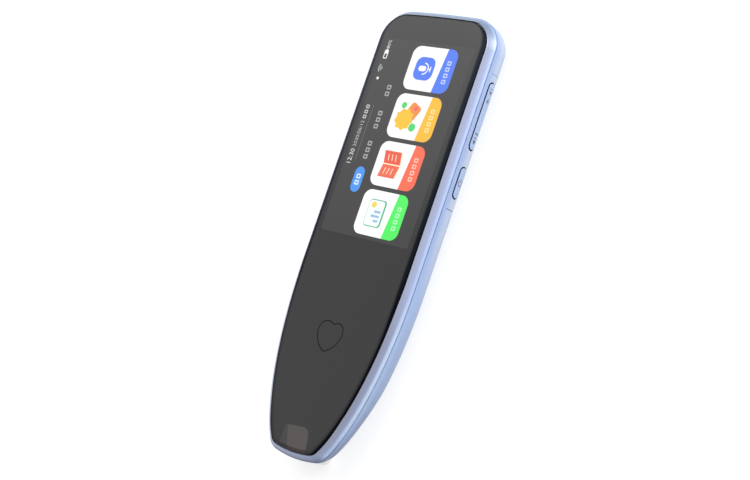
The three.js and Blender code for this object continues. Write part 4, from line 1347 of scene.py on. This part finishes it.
def rocker_marks():
    """Louder and quieter: a plus and a minus, each with a loudspeaker."""
    plus = [(rounded(1.6, 0.42, 0.05, 1, 4.7), KEY_RED), (rounded(0.42, 1.6, 0.05, 1, 4.7), KEY_RED)]
    minus = [(rounded(0.42, 1.6, 0.05, 1, -5.4), KEY_SLATE)]
    return speaker_mark(KEY_RED, 7.7) + plus + minus + speaker_mark(KEY_SLATE, -7.5)


def power_marks():
    """An open ring with a bar in its opening."""
    return [(band_arc(0.9, 0.32, 42, 318, 0.0, 0.0, 24), KEY_RED), (rounded(1.2, 0.32, 0.04, 1, 0.7), KEY_RED)]


class PEN_OT_keys(Operator):
    """Volume rocker and power button, just proud of the strip, with their printed marks"""

    bl_idname = "pen.keys"
    bl_label = "Keys"

    def execute(self, context):
        sizes, colours = context.scene.pen_sizes, context.scene.pen_colours
        finishes = [
            pearl_lacquer("pearl_lacquer_keys", colours.key[:]),
            # Pad-printed ink: matt, so that the small signs stay readable beside the lacquer's lights
            principled("pad_print_red", srgb("#8076a0"), 0.5, bump=(0.3, 0.05)),
            principled("pad_print_slate", srgb("#55688a"), 0.5, bump=(0.3, 0.05)),
            # The flanks take a dark painted shadow, so that the gap round the key stays dark
            principled("key_flank_painted_shadow", colours.shadow_gap[:], 0.6, bump=(0.2, 0.1)),
        ]
        for name, node_name, low, high, marks in (
            ("rocker_cap", "volume_rocker", ROCKER_LOW, ROCKER_HIGH, rocker_marks()),
            ("power_cap", "power_button", POWER_LOW, POWER_HIGH, power_marks()),
        ):
            piece = smooth(new_piece(name, key_mesh(name, low, high, marks, sizes.key_round)), 40)
            finish_piece(piece, node_name, finishes)
        return {"FINISHED"}


def lathe(name, profile, x, y, sides=96):
    """A closed ring turned about an upright line, from its section as (radius, height)."""
    turns = np.linspace(0, 2 * math.pi, sides, False)
    loops = [[(x + r * math.cos(t), y + r * math.sin(t), z) for t in turns] for r, z in profile]
    return loft(name, loops, ring=True)


class PEN_OT_rear_camera(Operator):
    """Rear camera: gloss black trim ring and the stepped lens behind its window"""

    bl_idname = "pen.rear_camera"
    bl_label = "Rear camera"

    def execute(self, context):
        # Both sections are (radius, height) in millimetres
        outer, height = RING_HIGH.x, RING_HIGH.z
        inner = LENS_HIGH.x + SEAT_GAP
        profile = [(inner, 0.35), (inner + 0.1, 0.06), (inner + 0.25, 0), (outer - 0.2, 0), (outer - 0.06, 0.06)]
        profile += [(outer, 0.2), (outer, height), (inner - 0.7, height), (inner - 0.7, 0.8), (inner, 0.8)]
        ring = smooth(lathe("camera_trim", profile, 0, CAMERA_Y), 50)
        # Polished black polycarbonate: one thin, bright light round a black ring
        gloss = principled("gloss_black_polycarbonate", srgb("#0b0b0e"), 0.12, bump=(1.5, 0.01))
        finish_piece(ring, "camera_ring", [gloss])
        radius, low = LENS_HIGH.x, LENS_LOW.z
        section = [(radius, 0.7), (radius, low + 0.05), (radius - 0.05, low), (1.95, low), (1.9, low + 0.05)]
        section += [(1.85, 0.32), (1.45, 0.36), (1.4, 0.48)]
        section += [(1.35 * math.cos(t), 0.48 - 0.2 * math.sin(t)) for t in np.linspace(0, math.pi / 2, 10)[:-1]]
        section += [(0.012, 0.28), (0.012, 0.7)]

        def painted_lens_glint(tree):
            spot = {"Vector": object_place(tree), "Location": (0, -CAMERA_Y / METRE, 0)}
            centred = node(tree, "ShaderNodeMapping", spot).outputs["Vector"]
            flat = vectors(tree, "MULTIPLY", {0: centred, 1: (1, 1, 0)})
            share = maths(tree, "MULTIPLY", vectors(tree, "LENGTH", {0: flat}, "Value"), METRE / radius)
            stops = [(0, srgb("#8d8797")), (0.16, srgb("#4a3c3e")), (0.4, srgb("#2c201f")), (0.62, srgb("#121013"))]
            return ramp(tree, share, [*stops, (1.0, srgb("#0a0a0c"))])

        lens = smooth(lathe("camera_lens", section, 0, CAMERA_Y), 50)
        # Coated glass with a painted glint: purple in the middle, dying away to black
        finish_piece(lens, "camera_window", [principled("coated_lens_glass_painted_glint", painted_lens_glint, 0.04)])
        return {"FINISHED"}


def nose_inside(shrink=0.0, high=REAR_PARTING - KEY_GAP):
    """The nose's place less the gap round it, with round corners at the tip too."""
    top, bottom = NOSE_TOP - NOSE_TRAVEL - shrink, GLASS_LOW.y - RIM * TIP_RIM_SHARE + NOSE_SET_BACK
    half = NOSE_HALF - KEY_GAP - shrink
    points = rounded(2 * half, top - bottom, NOSE_CORNER - KEY_GAP, v=(top + bottom) / 2)
    return prism("nose_inside", points, "Z", -OVERRUN, high)


def window_plug(grow):
    """The window's place in the nose, out past the tip."""
    top, bottom = WINDOW_TOP + grow, NOSE_TIP - OVERRUN - SCAN_CORNER
    points = rounded(2 * (SCAN_HALF + grow), top - bottom, SCAN_CORNER + grow, v=(top + bottom) / 2)
    return prism("window", points, "Z", -OVERRUN, SCAN_RISE + grow)


def nose_body(name, wall=0.0):
    """The rounded body that the nose is cut from, or the room inside a wall of that thickness."""
    high = FRONT_PARTING + (OVERRUN if wall else 0)
    body = case_body(name, RIM - wall, wall, high, back=NOSE_BACK, start_z=NOSE_START_Z)
    body.data.transform(Matrix.Translation((0, NOSE_SET_BACK / METRE, 0)))
    return body


class PEN_OT_scan_nose(Operator):
    """Scanning nose at the tip: milky ring and smoked window"""

    bl_idname = "pen.scan_nose"
    bl_label = "Scanning nose"

    def execute(self, context):
        sizes, colours = context.scene.pen_sizes, context.scene.pen_colours
        ring = carve(nose_body("nose_ring"), nose_inside(), "INTERSECT")
        room = carve(nose_body("room", NOSE_WALL), nose_inside(NOSE_SIDE_WALL, FRONT_PARTING), "INTERSECT")
        carve(ring, room)
        carve(ring, window_plug(SCAN_GAP))
        break_edges(ring, 1.5 * sizes.edge_break)
        smooth(ring)
        # Milky moulding: white all over, with a painted glow from its emission, soft shade and hardly an edge
        milky = principled(
            "milky_polycarbonate_painted_glow",
            colours.nose[:],
            0.3,
            bump=(0.8, 0.02),
            Subsurface_Weight=0.15,
            Subsurface_Scale=0.001,
            Emission_Color=rgba(colours.nose),
            Emission_Strength=0.32,
        )
        finish_piece(ring, "scan_nose", [milky])
        pane = carve(nose_body("nose_window"), nose_body("room", SCAN_WALL))
        carve(pane, nose_inside(), "INTERSECT")
        carve(pane, window_plug(0), "INTERSECT")
        smooth(pane)

        def smoke(tree):
            tones = ((0, "#262226"), (0.3, "#3a3032"), (0.55, "#553a37"), (0.8, "#37303a"))
            stops = [(at, srgb(code)) for at, code in tones]
            return ramp(tree, along(tree, "X", -SCAN_HALF, SCAN_HALF), [*stops, (1, tuple(colours.smoke))])

        # Smoked acrylic: near black, with a painted red glow in the middle in place of the lamp behind it
        finish_piece(pane, "scan_window", [principled("smoked_acrylic_painted_glow", smoke, 0.07)])
        return {"FINISHED"}


def contact_tree(finish):
    """Geometry nodes that lay a row of contacts side by side on both faces of the socket's tongue."""
    lengths = dict.fromkeys(("Contact Pitch", "Contact Width", "Contact Length", "Rise"), "Float")
    tree, given = new_tree("socket_contacts", lengths | {"Middle": "Vector", "Count": "Int"})
    gaps = maths(tree, "SUBTRACT", given["Count"], 1.0)
    first = maths(tree, "MULTIPLY", maths(tree, "MULTIPLY", gaps, given["Contact Pitch"]), -0.5)
    start = node(tree, "ShaderNodeCombineXYZ", {"X": first}).outputs[0]
    step = node(tree, "ShaderNodeCombineXYZ", {"X": given["Contact Pitch"]}).outputs[0]
    sides = {
        "X": given["Contact Width"],
        "Y": given["Contact Length"],
        "Z": maths(tree, "MULTIPLY", given["Rise"], 2.0),
    }
    size = node(tree, "ShaderNodeCombineXYZ", sides).outputs[0]
    row = point_row(tree, given["Count"], vectors(tree, "ADD", {0: start, 1: given["Middle"]}), step)
    contact = node(tree, "GeometryNodeMeshCube", {"Size": size}).outputs["Mesh"]
    return end_tree(tree, copies(tree, row, contact), finish)


class PEN_OT_charging_socket(Operator):
    """Charging socket in the top end: drawn steel shell, tongue and gilt contacts"""

    bl_idname = "pen.charging_socket"
    bl_label = "Charging socket"

    def execute(self, context):
        # Drawn steel: a bright, slightly streaked line round the dark mouth
        steel = principled("drawn_steel", srgb("#b9bcc2"), 0.3, 1.0, (0.6, 0.04))
        low, high = SOCKET_LOW, SOCKET_HIGH
        wide, tall, middle = high.x - low.x, high.z - low.z, (low.z + high.z) / 2
        shell = prism("socket_shell", rounded(wide, tall, SIDE_X, 2 * PLUG_STEPS, 0, middle), "Y", low.y, high.y)
        bore = rounded(wide - 2 * SOCKET_WALL, tall - 2 * SOCKET_WALL, SIDE_X, 2 * PLUG_STEPS, 0, middle)
        carve(shell, prism("bore", bore, "Y", low.y + SOCKET_WALL, high.y + OVERRUN))
        break_edges(shell, 0.05)
        finish_piece(smooth(shell), "charging_socket", [steel])
        low, high = TONGUE_LOW, TONGUE_HIGH
        outline_points = rounded(high.x - low.x, high.z - low.z, 0.25, 4, 0, middle)
        tongue = prism("socket_tongue_blade", outline_points, "Y", low.y, high.y)
        # Glass-filled nylon: dull black, so that the mouth looks deep
        black = principled("glass_filled_nylon", srgb("#141518"), 0.5, bump=(0.2, 0.1))
        finish_piece(smooth(tongue), "socket_tongue", [black])
        # Gilt copper: small warm glints on the black blade
        gilt = principled("gilt_copper", srgb("#d8b469"), 0.25, 1.0, (0.3, 0.02))
        row = new_piece("socket_contacts", bpy.data.meshes.new("socket_contacts"))
        values = {
            "Contact Pitch": CONTACT_PITCH / METRE,
            "Contact Width": CONTACT_WIDTH / METRE,
            "Contact Length": CONTACT_LENGTH / METRE,
            "Rise": ((high.z - low.z) / 2 + CONTACT_PROUD) / METRE,
            "Middle": (0, (high.y - CONTACT_INSET) / METRE, middle / METRE),
            "Count": CONTACTS,
        }
        dress(run_tree(row, contact_tree(gilt), values), [gilt])
        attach(row, frame["nodes"]["socket_tongue"]["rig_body"])
        return {"FINISHED"}


# Finishes of the CAD nodes inside the case, which a cut-away or exploded view shows
INNER = {
    "board": ["home_touch_pad", "side_key_board", "main_board", "scan_light_board"],
    "steel": ["volume_up_switch", "volume_down_switch", "power_switch", "microphone", "nose_switch"]
    + [f"board_screw_{k}" for k in range(1, 5)],
    "black": ["speaker", "camera_module", "scan_camera"],
    "mesh": ["speaker_mesh"],
    "foil": ["battery"],
    "white": ["display_backlight"],
    "panel": ["display_panel"],
}


def woven(tree):
    """The light and dark threads of a fine dust mesh, 0.25 mm apart."""
    dark, light = rgba(srgb("#101114")), rgba(srgb("#2a2b30"))
    inputs = {"Vector": object_place(tree), "Scale": METRE / 0.25, "Color1": dark, "Color2": light}
    return node(tree, "ShaderNodeTexChecker", inputs).outputs["Color"]


class PEN_OT_inner_pieces(Operator):
    """Finishes of the boards, switches, battery, speaker and display inside the case"""

    bl_idname = "pen.inner_pieces"
    bl_label = "Inner pieces"

    def execute(self, context):
        finishes = {
            # Solder mask: a glossy, slightly mottled green
            "board": principled("green_solder_mask", flaked(srgb("#1f5a3c"), 0.8), 0.35, bump=(0.5, 0.1)),
            # Stamped steel: small hard lights on switches, microphone and screws
            "steel": principled("stamped_steel", srgb("#b9bcc2"), 0.32, 1.0, (0.4, 0.05)),
            # Moulded black plastic: dull, with a fine skin
            "black": principled("moulded_black_abs", srgb("#17181b"), 0.5, bump=(0.25, 0.15)),
            # Woven mesh: matt threads that darken what is seen through the speaker's holes
            "mesh": principled("woven_dust_mesh", woven, 0.8),
            # Foil pouch: broad, crinkled metal lights
            "foil": principled("foil_laminate", flaked(srgb("#a4a8ae"), 0.9), 0.35, 0.8, (3.0, 0.3)),
            # Diffusing acrylic: even white
            "white": principled("diffusing_acrylic", srgb("#efefea"), 0.4, bump=(0.3, 0.05)),
            # Display cell: smooth dark glass
            "panel": principled("display_cell", srgb("#35363a"), 0.12, bump=(0.2, 0.02)),
        }
        for kind, nodes in INNER.items():
            for name in nodes:
                materials = frame["nodes"][name].data.materials
                materials.clear()
                materials.append(finishes[kind])
        return {"FINISHED"}


# Camera and studio, in metres
CAMERA_PLACE = (0.2881, -0.0499, 0.3410)
CAMERA_AXES = ((0.73987, 0.32241, -0.59047), (-0.17791, 0.94021, 0.29045), (0.64880, -0.10984, 0.75299))
LENS, SENSOR, NEAREST = 71.986, 36.0, 0.01
SOFT_BOXES = (("side_box", (0.473, 0.425, 0.15), 0.3, 2.5), ("top_box", (-0.35, 0.55, 1.1), 0.9, 4.0))
FLOOR_HALF, FLOOR_DROP = 3.0, 1e-4
# The camera sees a paler floor and a whiter sky than the ones that light the pen
FLOOR_TONE, SEEN_FLOOR_TONE, FLOOR_LIGHT, SKY_LIGHT, SEEN_SKY_LIGHT = 0.35, 0.5, 0.7, 0.5, 1.0


def studio_light(name, place, size, strength):
    """A square soft box that points at the pen."""
    light = bpy.data.lights.new(name, "AREA")
    light.size = size
    light.energy = strength
    lamp = new_piece(name, light)
    lamp.location = place
    lamp.rotation_euler = (-Vector(place)).to_track_quat("-Z", "Y").to_euler()
    return lamp


def shown_rays(tree):
    """1 for the camera's rays and for rays that a mirror or a glass passes on."""
    path = node(tree, "ShaderNodeLightPath").outputs
    seen = maths(tree, "MAXIMUM", path["Is Camera Ray"], path["Is Glossy Ray"])
    return maths(tree, "MAXIMUM", seen, path["Is Transmission Ray"])


class PEN_OT_stage(Operator):
    """White floor, soft studio light and the camera"""

    bl_idname = "pen.stage"
    bl_label = "Stage"

    def execute(self, context):
        scene = context.scene
        square = [(x * FLOOR_HALF * METRE, y * FLOOR_HALF * METRE, 0) for x, y in ((-1, -1), (1, -1), (1, 1), (-1, 1))]
        floor = new_piece("floor", new_mesh("floor", square, [(0, 1, 2, 3)]))
        floor.data.transform(Matrix.Translation((0, 0, -FLOOR_DROP)))
        # White paper sweep: takes the pen's soft shadow and goes on into the white behind
        material, tree, output = new_material("white_floor")
        tone = mixed(tree, shown_rays(tree), rgba(grey(FLOOR_TONE)), rgba(grey(SEEN_FLOOR_TONE)))
        paper = node(tree, "ShaderNodeBsdfDiffuse", {"Color": tone})
        lift = node(tree, "ShaderNodeEmission", {"Color": rgba(grey(FLOOR_LIGHT)), "Strength": shown_rays(tree)})
        surface = node(tree, "ShaderNodeAddShader", {0: paper.outputs[0], 1: lift.outputs[0]})
        tree.links.new(surface.outputs[0], output.inputs["Surface"])
        floor.data.materials.append(material)

        world = bpy.data.worlds.new("studio")
        world.use_nodes = True
        tree = world.node_tree
        tree.nodes.clear()
        range_of = {"Value": shown_rays(tree), "To Min": SKY_LIGHT, "To Max": SEEN_SKY_LIGHT}
        strength = node(tree, "ShaderNodeMapRange", range_of).outputs["Result"]
        background = node(tree, "ShaderNodeBackground", {"Color": rgba(grey(1.0)), "Strength": strength})
        node(tree, "ShaderNodeOutputWorld", {"Surface": background.outputs[0]})
        scene.world = world

        for box in SOFT_BOXES:
            studio_light(*box)

        camera = bpy.data.cameras.new("camera")
        camera.lens = LENS
        camera.sensor_width = SENSOR
        camera.clip_start = NEAREST
        eye = new_piece("camera", camera)
        turn = Matrix(CAMERA_AXES).transposed().to_4x4()
        eye.matrix_world = Matrix.Translation(CAMERA_PLACE) @ turn
        scene.camera = eye
        scene.view_settings.view_transform = "Standard"
        return {"FINISHED"}


class PEN_PT_panel(Panel):
    """Pieces of the pen, in the order in which they are made"""

    bl_idname = "PEN_PT_panel"
    bl_label = "Scanning pen"
    bl_space_type = "VIEW_3D"
    bl_region_type = "UI"
    bl_category = "Pen"

    def draw(self, context):
        for operator in OPERATORS:
            self.layout.operator(operator.bl_idname)
        for group in (context.scene.pen_sizes, context.scene.pen_colours):
            for name in group.bl_rna.properties.keys():
                if name not in {"rna_type", "name"}:
                    self.layout.prop(group, name)


OPERATORS = (
    PEN_OT_stage,
    PEN_OT_front_frame,
    PEN_OT_mid_frame,
    PEN_OT_rear_cover,
    PEN_OT_cover_glass,
    PEN_OT_keys,
    PEN_OT_rear_camera,
    PEN_OT_scan_nose,
    PEN_OT_charging_socket,
    PEN_OT_inner_pieces,
)
CLASSES = (PenSizes, PenColours, *OPERATORS, PEN_PT_panel)


def register():
    """Registers the classes and hangs the property groups on the scene."""
    for cls in CLASSES:
        bpy.utils.register_class(cls)
    bpy.types.Scene.pen_sizes = PointerProperty(type=PenSizes)
    bpy.types.Scene.pen_colours = PointerProperty(type=PenColours)


def unregister():
    """Takes all of it away again."""
    del bpy.types.Scene.pen_colours
    del bpy.types.Scene.pen_sizes
    for cls in reversed(CLASSES):
        bpy.utils.unregister_class(cls)


def main():
    """Makes the pieces and the stage."""
    register()
    for operator in OPERATORS:
        group, name = operator.bl_idname.split(".")
        getattr(getattr(bpy.ops, group), name)()


if __name__ == "__main__":
    main()
